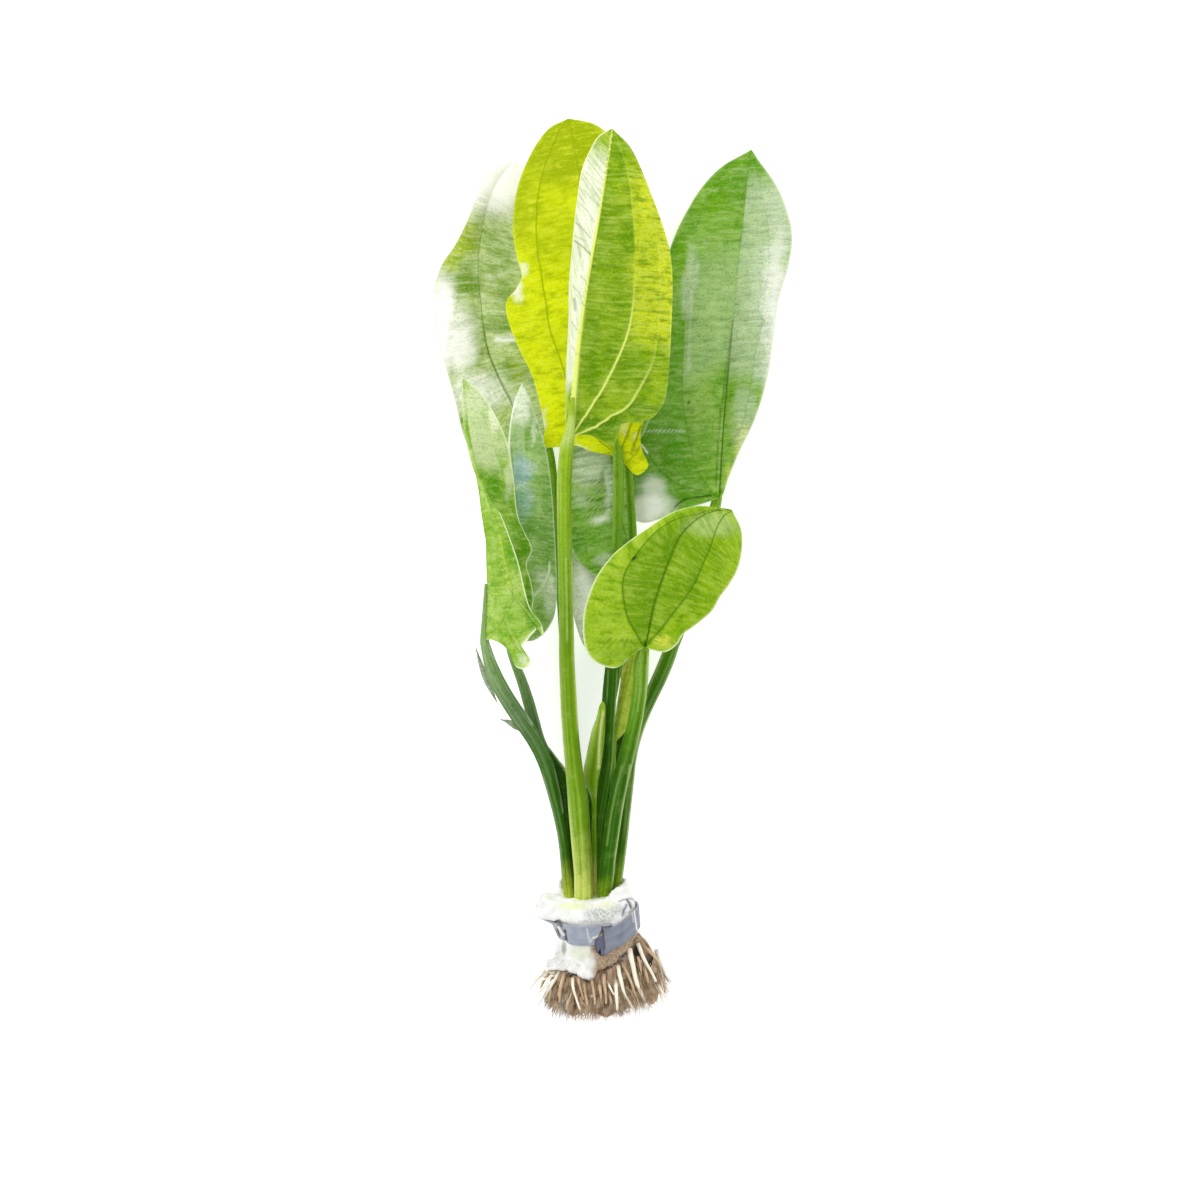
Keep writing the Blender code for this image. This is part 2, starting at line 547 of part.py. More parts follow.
def mesh_of(item, collection, parent):
    """The same object as a plain closed mesh, its caps joined to its sides."""
    bpy.context.view_layer.update()
    seen = item.evaluated_get(bpy.context.evaluated_depsgraph_get())
    mesh = bpy.data.meshes.new_from_object(seen)
    shape = bmesh.new()
    shape.from_mesh(mesh)
    bmesh.ops.remove_doubles(shape, verts=shape.verts, dist=0.00001)
    bmesh.ops.recalc_face_normals(shape, faces=shape.faces)
    shape.to_mesh(mesh)
    shape.free()
    name = item.name
    bpy.data.objects.remove(item, do_unlink=True)
    solid = bpy.data.objects.new(name, mesh)
    collection.objects.link(solid)
    solid.parent = parent
    return solid


def add_roots(collection, cutters, parent):
    """The crown's stub, the mat of fine roots below it and the main roots, joined in one solid."""
    rings = 14
    mesh = bpy.data.meshes.new("root_ball")
    ball = bmesh.new()
    bmesh.ops.create_uvsphere(ball, u_segments=FOAM_SEGMENTS, v_segments=rings, radius=1.0)
    for vertex in ball.verts:
        angle = math.atan2(vertex.co.y, vertex.co.x)
        ring = round(math.acos(max(-1.0, min(1.0, vertex.co.z))) / math.pi * rings)
        top = foam_bottom(angle) - CLEARANCE
        ragged = 1.4 * math.sin(angle * 7 + 1) + 1.0 * math.sin(angle * 11)
        profile = [(-15.2, 0), (-15.2, 8), (-15.3, 12.8), (-16.4, 14.8), (top - 0.3, FOAM_BORE - 0.8),
                   (top - 0.3, MAT_RADIUS), (top + (-36 - top) * 0.4, MAT_RADIUS + 0.6), (-36, 20.6),
                   (-40, 22.5), (-44 + ragged, 24.8), (-46.5 + ragged, 25.2), (-45, 21), (-43.5, 14), (-43, 7),
                   (-43, 0)]
        along, radius = profile[ring]
        vertex.co = settle(collar_point(angle, along, radius), 0.3) * MM
    bmesh.ops.recalc_face_normals(ball, faces=ball.faces)
    ball.to_mesh(mesh)
    ball.free()
    mesh.shade_smooth()
    material = make_material("root brown", ROOT_BROWN, 0.85)
    solid = add_object("root_ball", mesh, material, collection, parent)
    for number, root in enumerate(ROOTS, start=1):
        points = root_path(*root)
        radii = [ROOT_RADIUS * (1 - 0.45 * index / ROOT_SECTIONS) for index in range(ROOT_SECTIONS + 1)]
        tube = add_tube(f"main_root_{number}", points, radii, 6, material, cutters, parent)
        tube = mesh_of(tube, cutters, parent)
        tube.hide_render = True
        tube.display_type = "WIRE"
    join = solid.modifiers.new("main roots", "BOOLEAN")
    join.operation = "UNION"
    join.solver = "EXACT"
    join.operand_type = "COLLECTION"
    join.collection = cutters
    return solid


def main():
    clear_scene()
    plant = make_collection("echinodorus_plant")
    cutters = make_collection("cutters")
    root_tubes = make_collection("main_roots")
    centre = bpy.data.objects.new("plant_centre", None)
    plant.objects.link(centre)
    centre.location = (-CENTRE_OF_OUTLINE[0] * MM, -CENTRE_OF_OUTLINE[1] * MM, 0.0)
    for name, leaf in LEAVES.items():
        add_leaf(name, leaf, plant, centre)
    for name, stem in STEMS.items():
        add_stem(name, stem, plant, centre)
    add_shoot(plant, centre)
    add_foam(plant, cutters, centre)
    add_strip(plant, centre)
    add_roots(plant, root_tubes, centre)


main()
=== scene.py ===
# Looks of the bare-root Echinodorus plant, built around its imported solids
import math

import bmesh
import bpy
import numpy as np
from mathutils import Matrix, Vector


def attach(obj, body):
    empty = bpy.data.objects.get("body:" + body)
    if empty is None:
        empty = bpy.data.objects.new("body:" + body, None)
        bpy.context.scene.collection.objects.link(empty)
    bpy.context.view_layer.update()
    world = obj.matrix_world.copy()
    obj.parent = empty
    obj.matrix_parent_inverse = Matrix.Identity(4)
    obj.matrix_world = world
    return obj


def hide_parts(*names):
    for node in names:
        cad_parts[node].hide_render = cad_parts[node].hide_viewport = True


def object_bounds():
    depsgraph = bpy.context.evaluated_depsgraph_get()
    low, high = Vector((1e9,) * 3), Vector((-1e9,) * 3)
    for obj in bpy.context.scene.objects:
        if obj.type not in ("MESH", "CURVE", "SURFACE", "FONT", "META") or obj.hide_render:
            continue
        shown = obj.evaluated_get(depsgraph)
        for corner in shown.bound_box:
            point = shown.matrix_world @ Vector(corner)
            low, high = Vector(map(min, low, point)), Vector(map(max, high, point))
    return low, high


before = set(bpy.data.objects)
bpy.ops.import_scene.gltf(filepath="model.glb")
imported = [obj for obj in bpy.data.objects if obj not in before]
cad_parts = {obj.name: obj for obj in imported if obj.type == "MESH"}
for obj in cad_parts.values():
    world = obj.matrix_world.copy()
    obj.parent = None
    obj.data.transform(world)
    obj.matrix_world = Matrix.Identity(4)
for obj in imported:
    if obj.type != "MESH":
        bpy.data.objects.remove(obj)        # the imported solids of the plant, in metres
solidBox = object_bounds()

# Lengths below are millimetres seen from the crown: to the right, towards the leaf tips, and up.
# makePiece moves a finished shape to the model's own place and turns it into metres.
crownPlace = np.array([-9.15, -150.8, 0.0])
metre = 0.001

camera = {
    "place": (3.22, 137.91, 900.0),      # straight above the middle of the picture
    "lens": 57.33,
    "sensor": 36.0,
}

light = {
    "world": 0.84,
    "sky": (253, 253, 252),
    "floor": (254, 254, 254),
    "floorGlow": 0.45,
    "floorSize": 6.0,                    # metres
    "lamps": [                           # name, place and target in mm, size in metres, watts
        ("keyLamp", (-420, 520, 700), (0, 150, 40), 0.7, 2.3),
        ("fillLamp", (600, -200, 600), (0, 120, 40), 0.9, 1.0),
        ("backLamp", (-150, 900, 350), (0, 250, 60), 0.5, 0.8),
    ],
}


def paint(red, green, blue):
    # a screen colour from 0 to 255 as the shader's linear one
    channels = [((c / 255 + 0.055) / 1.055) ** 2.4 if c > 10 else c / 255 / 12.92 for c in (red, green,
                                                                                            blue)]
    return (*channels, 1.0)


def ease(value, low, high):
    part = np.clip((np.asarray(value, float) - low) / (high - low), 0.0, 1.0)
    return part * part * (3 - 2 * part)


def evenPath(places, count):
    # evenly spaced points on a smooth curve through the places
    points = np.array(places, float)
    points = np.vstack([2 * points[0] - points[1], points, 2 * points[-1] - points[-2]])
    part = np.linspace(0, 1, 40, endpoint=False)[:, None]
    dense = []
    for before, here, after, beyond in zip(points, points[1:], points[2:], points[3:]):
        dense.append(0.5 * (2 * here + (after - before) * part
                            + (2 * before - 5 * here + 4 * after - beyond) * part ** 2
                            + (3 * here - before - 3 * after + beyond) * part ** 3))
    dense = np.vstack(dense + [points[-2:-1]])
    travelled = np.concatenate([[0.0], np.cumsum(np.linalg.norm(np.diff(dense[:, :3], axis=0), axis=1))])
    wanted = np.linspace(0, travelled[-1], count + 1)
    return np.stack([np.interp(wanted, travelled, column) for column in dense.T], axis=1)


def pathLength(path):
    return float(np.sum(np.linalg.norm(np.diff(path[:, :3], axis=0), axis=1)))


def hashed(cells, seed):
    # a repeatable number from 0 to 1 for each whole-number cell
    mixed = cells[..., 0] * 73856093 ^ cells[..., 1] * 19349663 ^ cells[..., 2] * 83492791
    mixed = mixed ^ (seed * 9781 + 17)
    mixed = ((mixed ^ (mixed >> 13)) * 1274126177) & 0x7FFFFFFF
    mixed = ((mixed ^ (mixed >> 15)) * 668265263) & 0x7FFFFFFF
    return ((mixed >> 7) & 0xFFFF) / 0xFFFF


def lumps(points, size, seed):
    # smooth noise from -1 to 1 whose features have about this size
    scaled = np.asarray(points, float) / size
    base = np.floor(scaled).astype(np.int64)
    part = scaled - base
    part = part * part * (3 - 2 * part)
    total = 0.0
    for corner in range(8):
        offset = np.array([corner & 1, corner >> 1 & 1, corner >> 2])
        total = total + np.prod(np.where(offset, part, 1 - part), axis=-1) * hashed(base + offset, seed)
    return total * 2 - 1


def addObject(name, data):
    made = bpy.data.objects.new(name, data)
    bpy.context.scene.collection.objects.link(made)
    return made


def makePiece(name, points, faces, material, marks=None, surface=None):
    # a closed mesh object at the origin, with its marks as attributes and its own surface map
    mesh = bpy.data.meshes.new(name)
    placed = (np.asarray(points, float).reshape(-1, 3) + crownPlace) * metre
    # nothing passes the solids' box
    placed = np.clip(placed, np.array(solidBox[0]), np.array(solidBox[1]))
    mesh.from_pydata(placed.tolist(), [], faces)
    for mark, values in (marks or {}).items():
        attribute = mesh.attributes.new(mark, "FLOAT", "POINT")
        attribute.data.foreach_set("value", np.asarray(values, np.float32).ravel())
    if surface is not None:
        corners = np.zeros(len(mesh.loops), np.int32)
        mesh.loops.foreach_get("vertex_index", corners)
        layer = mesh.uv_layers.new(name="surface")
        layer.data.foreach_set("uv", np.asarray(surface, np.float32).reshape(-1, 2)[corners].ravel())
    shape = bmesh.new()
    shape.from_mesh(mesh)
    if shape.calc_volume(signed=True) < 0:
        bmesh.ops.reverse_faces(shape, faces=shape.faces)
        shape.to_mesh(mesh)
    shape.free()
    mesh.materials.append(material)
    mesh.shade_smooth()
    return addObject(name, mesh)


def ringFaces(rings, count, closed=False):
    # quads between neighbouring rings of points, each ring closed on itself
    faces = []
    for ring in range(rings if closed else rings - 1):
        here = ring * count
        there = (ring + 1) % rings * count
        for step in range(count):
            after = (step + 1) % count
            faces.append((here + step, here + after, there + after, there + step))
    return faces


def fanFaces(pole, first, count, flipped):
    # triangles from one point to a ring of points
    fan = [(pole, first + step, first + (step + 1) % count) for step in range(count)]
    return [face[::-1] for face in fan] if flipped else fan


def dress(piece, slot, *nodes):
    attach(piece, "root")
    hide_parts(*nodes)


class Recipe:
    # a material and its nodes: each call adds one node, feeds its inputs and gives an output back

    def __init__(self, name):
        self.material = bpy.data.materials.new(name)
        self.material.use_nodes = True
        self.tree = self.material.node_tree
        self.shader = self.tree.nodes["Principled BSDF"]

    def feed(self, socket, value):
        if isinstance(value, bpy.types.NodeSocket):
            self.tree.links.new(value, socket)
        else:
            socket.default_value = value

    def node(self, kind, inputs, output=0, **settings):
        made = self.tree.nodes.new("ShaderNode" + kind)
        for key, value in settings.items():
            setattr(made, key, value)
        for key, value in inputs.items():
            self.feed(made.inputs[key], value)
        return made.outputs[output]

    def mark(self, name):
        return self.node("Attribute", {}, output=2, attribute_name=name)

    def surface(self):
        return self.node("UVMap", {}, uv_map="surface")

    def place(self):
        return self.node("TexCoord", {}, output=3)

    def stretch(self, vector, scale):
        return self.node("Mapping", {"Vector": vector, "Scale": scale})

    def noise(self, vector, scale, detail=3.0, rough=0.55):
        return self.node("TexNoise", {"Vector": vector, "Scale": scale, "Detail": detail,
                                      "Roughness": rough})

    def cells(self, vector, scale):
        return self.node("TexVoronoi", {"Vector": vector, "Scale": scale}, feature="DISTANCE_TO_EDGE")

    def remap(self, value, low, high, toLow=0.0, toHigh=1.0):
        return self.node("MapRange", {0: value, 1: low, 2: high, 3: toLow, 4: toHigh})

    def times(self, first, second):
        return self.node("Math", {0: first, 1: second}, operation="MULTIPLY")

    def plus(self, first, second):
        return self.node("Math", {0: first, 1: second}, operation="ADD")

    def mix(self, share, first, second, blend="MIX"):
        return self.node("Mix", {0: share, 6: first, 7: second}, output=2, data_type="RGBA",
                         blend_type=blend)

    def bump(self, height, distance, strength=1.0):
        return self.node("Bump", {"Height": height, "Distance": distance, "Strength": strength})

    def finish(self, colour, roughness, normal=None, **plain):
        self.feed(self.shader.inputs["Base Color"], colour)
        self.feed(self.shader.inputs["Roughness"], roughness)
        if normal is not None:
            self.feed(self.shader.inputs["Normal"], normal)
        for key, value in plain.items():
            self.shader.inputs[key.replace("_", " ")].default_value = value
        return self.material


def seen(points):
    # where points show in the camera's picture, in pixels of 1200
    points = np.asarray(points, float)
    scale = camera["lens"] / camera["sensor"] * 1200 / (camera["place"][2] - points[..., 2])
    return np.stack([600 + (points[..., 0] - camera["place"][0]) * scale,
                     600 - (points[..., 1] - camera["place"][1]) * scale], axis=-1)


def unseen(place):
    # the point at a height that shows at a place of the picture
    x, y, height = place
    scale = (camera["place"][2] - height) / (camera["lens"] / camera["sensor"] * 1200)
    return camera["place"][0] + (x - 600) * scale, camera["place"][1] + (600 - y) * scale, height


def fromPicture(places):
    return [unseen(place) for place in places]


def nearLine(spots, line, width):
    # from 1 on a line drawn in the picture to 0 away from it
    line = np.array(line, float)
    best = np.full(spots.shape[:-1], 1e9)
    for start, end in zip(line, line[1:]):
        run = end - start
        part = np.clip((spots - start) @ run / max(float(run @ run), 1e-9), 0, 1)
        best = np.minimum(best, np.linalg.norm(spots - start - part[..., None] * run, axis=-1))
    return np.exp(-(best / width) ** 2)


def nearPatch(spots, x, y, wide, high):
    # from 1 inside a soft oval of the picture to 0 outside it
    far = np.hypot((spots[..., 0] - x) / wide, (spots[..., 1] - y) / high)
    return 1 - ease(far, 0.35, 1.1)


# Blades. Midrib and margins are the solids' own. Everything drawn on a blade is placed as the camera sees
# it, in pixels of a picture 1200 wide: veins as (strength, where it fades, line) for the left and the
# right half, lines as (kind, width, strength, relief in mm, line), and patches as (kind, x, y, half
# width, half height, strength). A zone tints one gap between veins: (kind, half, gap, strength, from,
# to). Its ends, and where a vein fades, are shares of the way to the tip. A rib is (strength, width in mm
# or its taper, width of the side veins), the cross veins are (spacing in mm, slant on the left, slant on
# the right, strength) and a wave is (height, size) in mm.
# Kinds deep and light are the blade's darker and lighter tones, and in places painted shade under other
# blades
# and in folds, and painted light over shaded parts. Glare and the pale sheen marks are painted highlights of
# the glossy blade, sky is a painted reflection of the sky, and shade is painted shade beside each cross
# vein.
leafStyle = {
    "thickness": 0.5,
    "rows": 400,
    "smallRows": 240,
    "columns": 18,          # between two neighbouring veins
    "wideColumns": 40,      # in a half without veins of its own
    "plainColumns": 12,     # in a half that hardly shows
    "rim": 0.65,            # mm
    "crossWidth": 0.5,
    "lowest": 0.06,
    "largeFrom": 90,        # mm of midrib
    "mesh": 700.0,          # cells of the fine net a metre
    # bluish tones of a painted reflection of the sky
    "sky": ((140, 180, 176), (206, 226, 226)),
    "glare": (255, 255, 251),
    # very dark green: real spots, streaks and tears, and painted shadow in creases and gaps
    "dark_mark_and_shadow": (30, 66, 2),
}

# what a blade has unless it says otherwise
plainLeaf = {
    "plain": False, "lower": 0.0, "upper": 1, "ridge": 0.5, "ribFade": 9.0, "veins": ([], []),
    "zones": [], "patches": [], "lines": [],
}

# a bare edge of torn skin on a stem
tornEdge = {
    "plain": True, "rib": (0.0, 0.4, 0.3), "cross": (2.5, 0.0, 0.0, 0.1), "bulge": 0.0, "slot": "stem_green",
}

leaves = {
    "front_leaf": {
        "midrib": [
            (-9.5, 209, 74), (-7.5, 230.5, 79), (-5, 253.5, 83), (-1.1, 278.5, 87), (3.0, 301.5, 88),
            (6.0, 321, 87), (8.5, 339.5, 84),
        ],
        "left": fromPicture([
            (570.9, 435.5, 74), (566, 420, 67), (566.5, 375, 61), (569, 320, 60), (569.3, 280, 61),
            (572.5, 240, 64), (577.5, 200, 69), (582, 170, 74), (590.5, 149, 78), (599, 135, 82),
            (612, 128, 84),
        ]),
        "right": [
            (-9.5, 209, 74), (-2, 209.5, 73), (4, 207.5, 71), (8.5, 205, 70), (11, 209.5, 70),
            (13, 214.5, 70), (20.5, 215.5, 70), (27.5, 218.5, 71), (32, 228.5, 73), (34, 258.5, 77),
            (34, 281.5, 80), (31, 295.5, 82), (24.5, 313, 84), (17, 330, 85), (8.5, 339.5, 84),
        ],
        "belly": ((-2.0, 0, 1.0), (0, 0, 2.5)),
        "lower": 1.0,
        "upper": -1,
        "veins": (
            [], [(0.9, 0.5, [(574, 431.5), (592, 405), (602, 389.5), (612, 370), (621.5, 350), (627.5, 333),
            (631.5, 315), (633.5, 294), (635, 250), (632, 205), (626, 165), (617, 138)]), (0.85, 0.34,
            [(581, 432.6), (598.3, 424), (611, 416.4), (623.8, 408.7), (630.5, 402.5), (636.5, 392.8),
            (645.5, 377), (652, 363), (657, 340), (660, 300), (659, 255), (652, 210), (640, 170),
            (625, 142)])],
        ),
        "rib": (1.0, [(0, 1.75), (0.12, 1.5), (0.25, 1.0), (0.44, 0.5), (1, 0.28)], 0.55),
        "ridge": 0.9,
        "cross": (3.0, -0.95, -0.12, 1.0),
        "bulge": 0.03,
        "wave": (0.35, 22),
        "rim": (1.0, 0.1),
        "slot": "leaf_green",
        "finish": "sunlit",
        "zones": [
            ("painted_sheen", 0, 0, 1.0, 0.17, 0.93), ("light", 0, 0, 1.0, 0.0, 1.0),
            ("warm", 1, 1, 0.65, 0.4, 0.9), ("warm", 1, 2, 0.9, 0.44, 0.9), ("deep", 1, 0, 0.45, 0.05, 0.8),
            ("deep", 1, 2, 0.7, 0.0, 0.14),
        ],
        "patches": [
            ("deep", 592, 350, 14, 90, 0.75), ("deep", 600, 425, 36, 14, 1.0),
            ("warm", 664, 238, 16, 92, 1.0), ("deep", 606, 225, 12, 60, 0.6),
            ("light", 656, 380, 12, 16, 0.7), ("deep", 645, 409, 28, 9, 0.9),
            ("warm", 648, 200, 16, 56, 0.9), ("warm", 646, 276, 22, 34, 0.6),
            ("deep", 630, 370, 34, 30, 0.5), ("deep", 613, 146, 10, 22, 0.35),
            ("light", 612, 290, 20, 40, 0.5), ("deep", 622, 166, 7, 20, 0.4),
        ],
        "lines": [
            ("warm", 1.3, 0.7, 0.0, [(569, 340), (567, 380), (566, 420), (565, 437)]),
            ("dark_mark_and_shadow", 0.8, 0.35, 0.0, [(576.5, 200), (588, 213), (594, 222)]), ("dark_mark_and_shadow", 0.8, 0.5, 0.0,
            [(576, 223), (590, 238)]), ("dark_mark_and_shadow", 0.8, 0.65, 0.0, [(574, 241), (582, 247), (590.5, 254.5)]),
            ("dark_mark_and_shadow", 0.8, 0.3, 0.0, [(574, 236), (584, 241)]), ("dark_mark_and_shadow", 1.6, 0.3, 0.0, [(578, 246),
            (579, 256)]), ("dark_mark_and_shadow", 0.8, 0.4, 0.0, [(580, 276), (586, 281)]), ("dark_mark_and_shadow", 0.8, 0.35, 0.0,
            [(572, 286), (582, 297)]), ("dark_mark_and_shadow", 1.8, 0.45, 0.0, [(573, 299), (574.5, 309)]),
            ("dark_mark_and_shadow", 0.8, 0.3, 0.0, [(576, 295), (584, 305)]), ("dark_mark_and_shadow", 0.8, 0.3, 0.0, [(583, 190),
            (598, 206)]), ("dark_mark_and_shadow", 0.8, 0.25, 0.0, [(586, 172), (600, 184)]), ("dark_mark_and_shadow", 0.8, 0.3, 0.0,
            [(571, 322), (580, 333)]), ("dark_mark_and_shadow", 0.8, 0.3, 0.0, [(570.5, 345), (578, 354)]),
            ("deep", 1.3, 0.6, 0.0, [(603, 205), (596.5, 240), (592, 270), (588.5, 300), (584, 325),
            (581, 345), (579, 375), (576, 410)]),
        ],
    },
    "yellow_leaf": {
        "midrib": [
            (12.5, 203, 33), (8.5, 224, 36), (4.5, 250.5, 40), (1, 277, 42), (-2.5, 304, 42),
            (-7, 333.5, 40), (-11, 355.5, 36),
        ],
        "left": [
            (12.5, 203, 33), (7, 204, 31), (-0.5, 205.5, 30), (-7.5, 208, 30), (-16, 207.5, 30),
            (-22.5, 208, 31), (-22, 215, 33), (-24, 226.5, 34), (-27.5, 239.5, 34), (-33.5, 252, 34),
            (-38.5, 265, 34), (-39, 273, 35), (-34.5, 278.5, 37), (-32, 284, 38), (-34, 292, 38),
            (-36, 305, 37), (-34.5, 322, 37), (-28.5, 338.5, 37), (-20.5, 350.5, 36), (-11, 355.5, 36),
        ],
        "right": [
            (12.5, 203, 33), (15.5, 198.5, 34), (20, 194.5, 35), (25, 198.5, 34), (22.5, 205, 34),
            (21.5, 212, 34), (23.5, 220.5, 34), (30.5, 235.5, 34), (33, 260.5, 34), (31.5, 292, 34),
            (25, 319, 35), (15, 339, 36), (2.5, 352, 36), (-11, 355.5, 36),
        ],
        "belly": ((0, 0, 1.0), (0, 0, 1.0)),
        "upper": -1,
        "veins": (
            [(0.7, 1.2, [(575, 425), (570, 395), (564, 371), (556, 347), (549, 326), (546, 301), (542, 280),
            (538, 255), (536, 225), (538, 195), (545, 165), (556, 138)])], [],
        ),
        "rib": (0.5, 0.6, 0.42),
        "cross": (2.8, 0.05, 0.0, 0.45),
        "bulge": 0.03,
        "wave": (0.6, 18),
        "rim": (0.3, 0.3),
        "slot": "leaf_yellow",
        "finish": "yellow",
        "zones": [("deep", 0, 1, 0.25, 0.3, 1.0)],
        "patches": [
            ("painted_sheen", 517, 284, 9, 24, 1.0), ("painted_sheen", 525, 268, 8, 8, 0.7),
            ("painted_sheen", 541, 424, 5, 16, 1.0), ("deep", 565, 145, 90, 66, 1.0),
            ("deep", 524, 200, 26, 70, 0.8), ("deep", 548, 232, 46, 50, 0.5),
            ("light", 542, 384, 24, 64, 1.0), ("light", 553, 430, 14, 20, 1.0),
            ("light", 515, 320, 12, 20, 0.5), ("light", 630, 432, 14, 16, 1.0),
            ("light", 638, 462, 11, 12, 1.0), ("painted_sheen", 582, 449, 10, 6, 0.75),
            ("light", 590, 442, 16, 8, 1.0), ("painted_sheen", 624, 428, 8, 9, 0.25),
        ],
        "lines": [
            ("dark_mark_and_shadow", 1.0, 0.6, -0.5, [(633, 420), (627, 435), (620, 451)]), ("dark_mark_and_shadow", 1.2, 0.55, -0.5,
            [(641, 426), (636, 440), (631, 454)]), ("dark_mark_and_shadow", 1.3, 0.5, 0.3, [(617, 451), (611, 446),
            (604, 439), (597, 435), (588, 433.5)]), ("dark_mark_and_shadow", 1.0, 0.4, 0.3, [(621, 453), (630, 452),
            (639, 449)]), ("dark_mark_and_shadow", 1.0, 0.4, -0.4, [(640, 446), (634, 456), (628, 461)]),
            ("painted_sheen", 1.0, 0.5, 0.3, [(636, 433), (633, 441)]), ("deep", 1.4, 0.7, 0.2, [(514, 287),
            (513, 298)]),
        ],
    },
    "back_left_leaf": {
        "midrib": [
            (-21, 208.5, 12), (-32, 219.5, 9), (-40, 233.5, 5), (-46, 246, 2), (-50.5, 260, 0.5),
            (-53, 279, 0), (-54, 296.5, 0), (-52, 312.5, 2), (-48.5, 324.5, 8), (-43.5, 334, 11),
            (-37, 341.5, 13),
        ],
        "left": [
            (-21, 208.5, 12), (-29.5, 203, 10), (-41, 200.5, 7), (-53, 203.5, 4), (-60, 213, 2),
            (-64.5, 229.5, 1), (-69, 246, 1), (-73, 262.5, 1), (-75.5, 279, 1), (-72, 294, 2),
            (-65, 304.5, 3), (-57.5, 318.5, 6), (-54, 327, 9), (-48, 336.5, 12), (-37, 341.5, 13),
        ],
        "right": [
            (-21, 208.5, 12), (-14.5, 211.5, 10), (-7, 219.5, 8), (-3.5, 234, 6), (-1.5, 255, 5),
            (-2.5, 278.5, 5), (-8.5, 301.5, 6), (-18, 322, 9), (-27, 335.5, 12), (-37, 341.5, 13),
        ],
        "belly": ((0, 0, 1.5), (0, 0, 2.0)),
        "rib": (0.8, 0.4, 0.3),
        "ribFade": 0.64,
        "cross": (3.4, 0.1, 0.25, 0.9),
        "bulge": 0.045,
        "wave": (1.1, 17),
        "rim": (0.9, 0.5),
        "slot": "leaf_pale",
        "finish": "glare_washed",
        "zones": [("glare", 0, 0, 1.0, 0.875, 1.0), ("glare", 1, 0, 1.0, 0.87, 1.0)],
        "patches": [
            ("glare", 512, 172, 50, 44, 1.0), ("painted_sheen", 495, 190, 40, 36, 0.9),
            ("glare", 440, 330, 16, 60, 0.9), ("glare", 462, 350, 14, 26, 0.5),
            ("painted_sheen", 442, 325, 20, 62, 1.0), ("painted_sheen", 458, 340, 24, 44, 1.0),
            ("painted_sheen", 478, 392, 36, 28, 0.85), ("deep", 500, 325, 26, 9, 1.0),
            ("deep", 498, 262, 24, 46, 0.6), ("deep", 460, 428, 7, 26, 0.9),
            ("deep", 462, 284, 34, 17, 1.0), ("painted_sheen", 508, 340, 18, 6, 0.8),
            ("deep", 514, 372, 18, 14, 1.0), ("painted_sheen", 540, 300, 16, 60, 0.35),
            ("painted_sheen", 512, 400, 16, 7, 0.5), ("warm", 462, 240, 26, 30, 1.0),
            ("warm", 449, 262, 15, 16, 1.0), ("deep", 466, 262, 18, 12, 0.5),
            ("warm", 519, 362, 10, 22, 0.5), ("deep", 508, 297, 14, 8, 0.7), ("painted_sheen", 458, 395, 9, 22, 0.5),
        ],
        "lines": [
            ("light", 1.0, 0.9, 0.1, [(481.5, 217), (480.2, 232), (476.4, 255), (475.6, 283), (476.4, 312),
            (480.3, 331), (485, 356), (494.5, 376), (509, 401)]), ("dark_mark_and_shadow", 1.0, 0.4, 0.0, [(484, 334),
            (489, 356), (498, 375), (512, 401)]),
        ],
    },
    "back_right_leaf": {
        "midrib": [
            (58.5, 185, 14), (60, 208, 9), (62, 231.5, 4), (64.5, 255.5, 1), (66.5, 276.5, 0),
            (68.5, 297.5, 0), (70.5, 316, 2), (72, 334, 8), (73.5, 347, 13),
        ],
        "left": [
            (58.5, 185, 14), (52, 183, 13), (44, 180.5, 12), (33.5, 176.5, 10), (24, 174, 8), (18, 177, 7),
            (15.5, 187, 6), (15, 201, 6), (16.5, 217.5, 6), (20, 236, 6), (24.5, 255, 5), (29, 273.5, 5),
            (33, 292.5, 5), (38, 308, 6), (43.5, 319, 8), (50.5, 330, 10), (60, 339.5, 12), (73.5, 347, 13),
        ],
        "right": [
            (58.5, 185, 14), (60.5, 187.5, 14), (63, 194.5, 13), (68.5, 207.5, 11), (75.5, 222, 9),
            (81.5, 241, 6), (84.5, 260, 4), (87, 278.5, 3), (91.5, 293.5, 3), (93.5, 306.5, 4),
            (91.5, 318, 6), (85.5, 331.5, 9), (73.5, 347, 13),
        ],
        "belly": ((0, 0, 2.0), (0, 0, 1.5)),
        "veins": (
            [(0.25, 0.6, [(713, 493), (699, 472), (690.5, 447), (685, 418), (682.5, 390), (683, 355),
            (684.5, 320), (686, 290), (690, 255), (698, 222), (712, 192), (728, 168)]), (0.25, 0.6,
            [(711, 492.5), (690, 488), (676, 483), (661, 472), (648, 454), (638, 425), (636, 380),
            (640, 330), (652, 280), (668, 240), (690, 205), (715, 175)])], [(0.15, 1.2, [(718, 470),
            (730, 445), (742, 425.5), (746.5, 404), (752, 379), (755, 355), (759, 341), (764, 300),
            (769, 260), (768, 225), (761, 190)])],
        ),
        "rib": (0.8, [(0, 0.5), (1, 0.3)], 0.4),
        "ribFade": 0.46,
        "cross": (3.4, 0.15, -0.15, 0.8),
        "bulge": 0.055,
        "wave": (0.6, 24),
        "rim": (0.4, 1.0),
        "slot": "leaf_green",
        "finish": "meadow",
        "zones": [
            ("deep", 0, 1, 0.6, 0.0, 0.62), ("deep", 0, 2, 0.75, 0.05, 0.8),
            ("painted_sheen", 1, 1, 0.6, 0.34, 0.92), ("painted_sheen", 1, 0, 0.45, 0.36, 0.94),
            ("painted_sheen", 0, 0, 0.2, 0.4, 0.75), ("light", 0, 0, 0.5, 0.05, 0.7),
        ],
        "patches": [
            ("glare", 648, 508, 30, 22, 1.0), ("glare", 642, 517, 26, 14, 1.0),
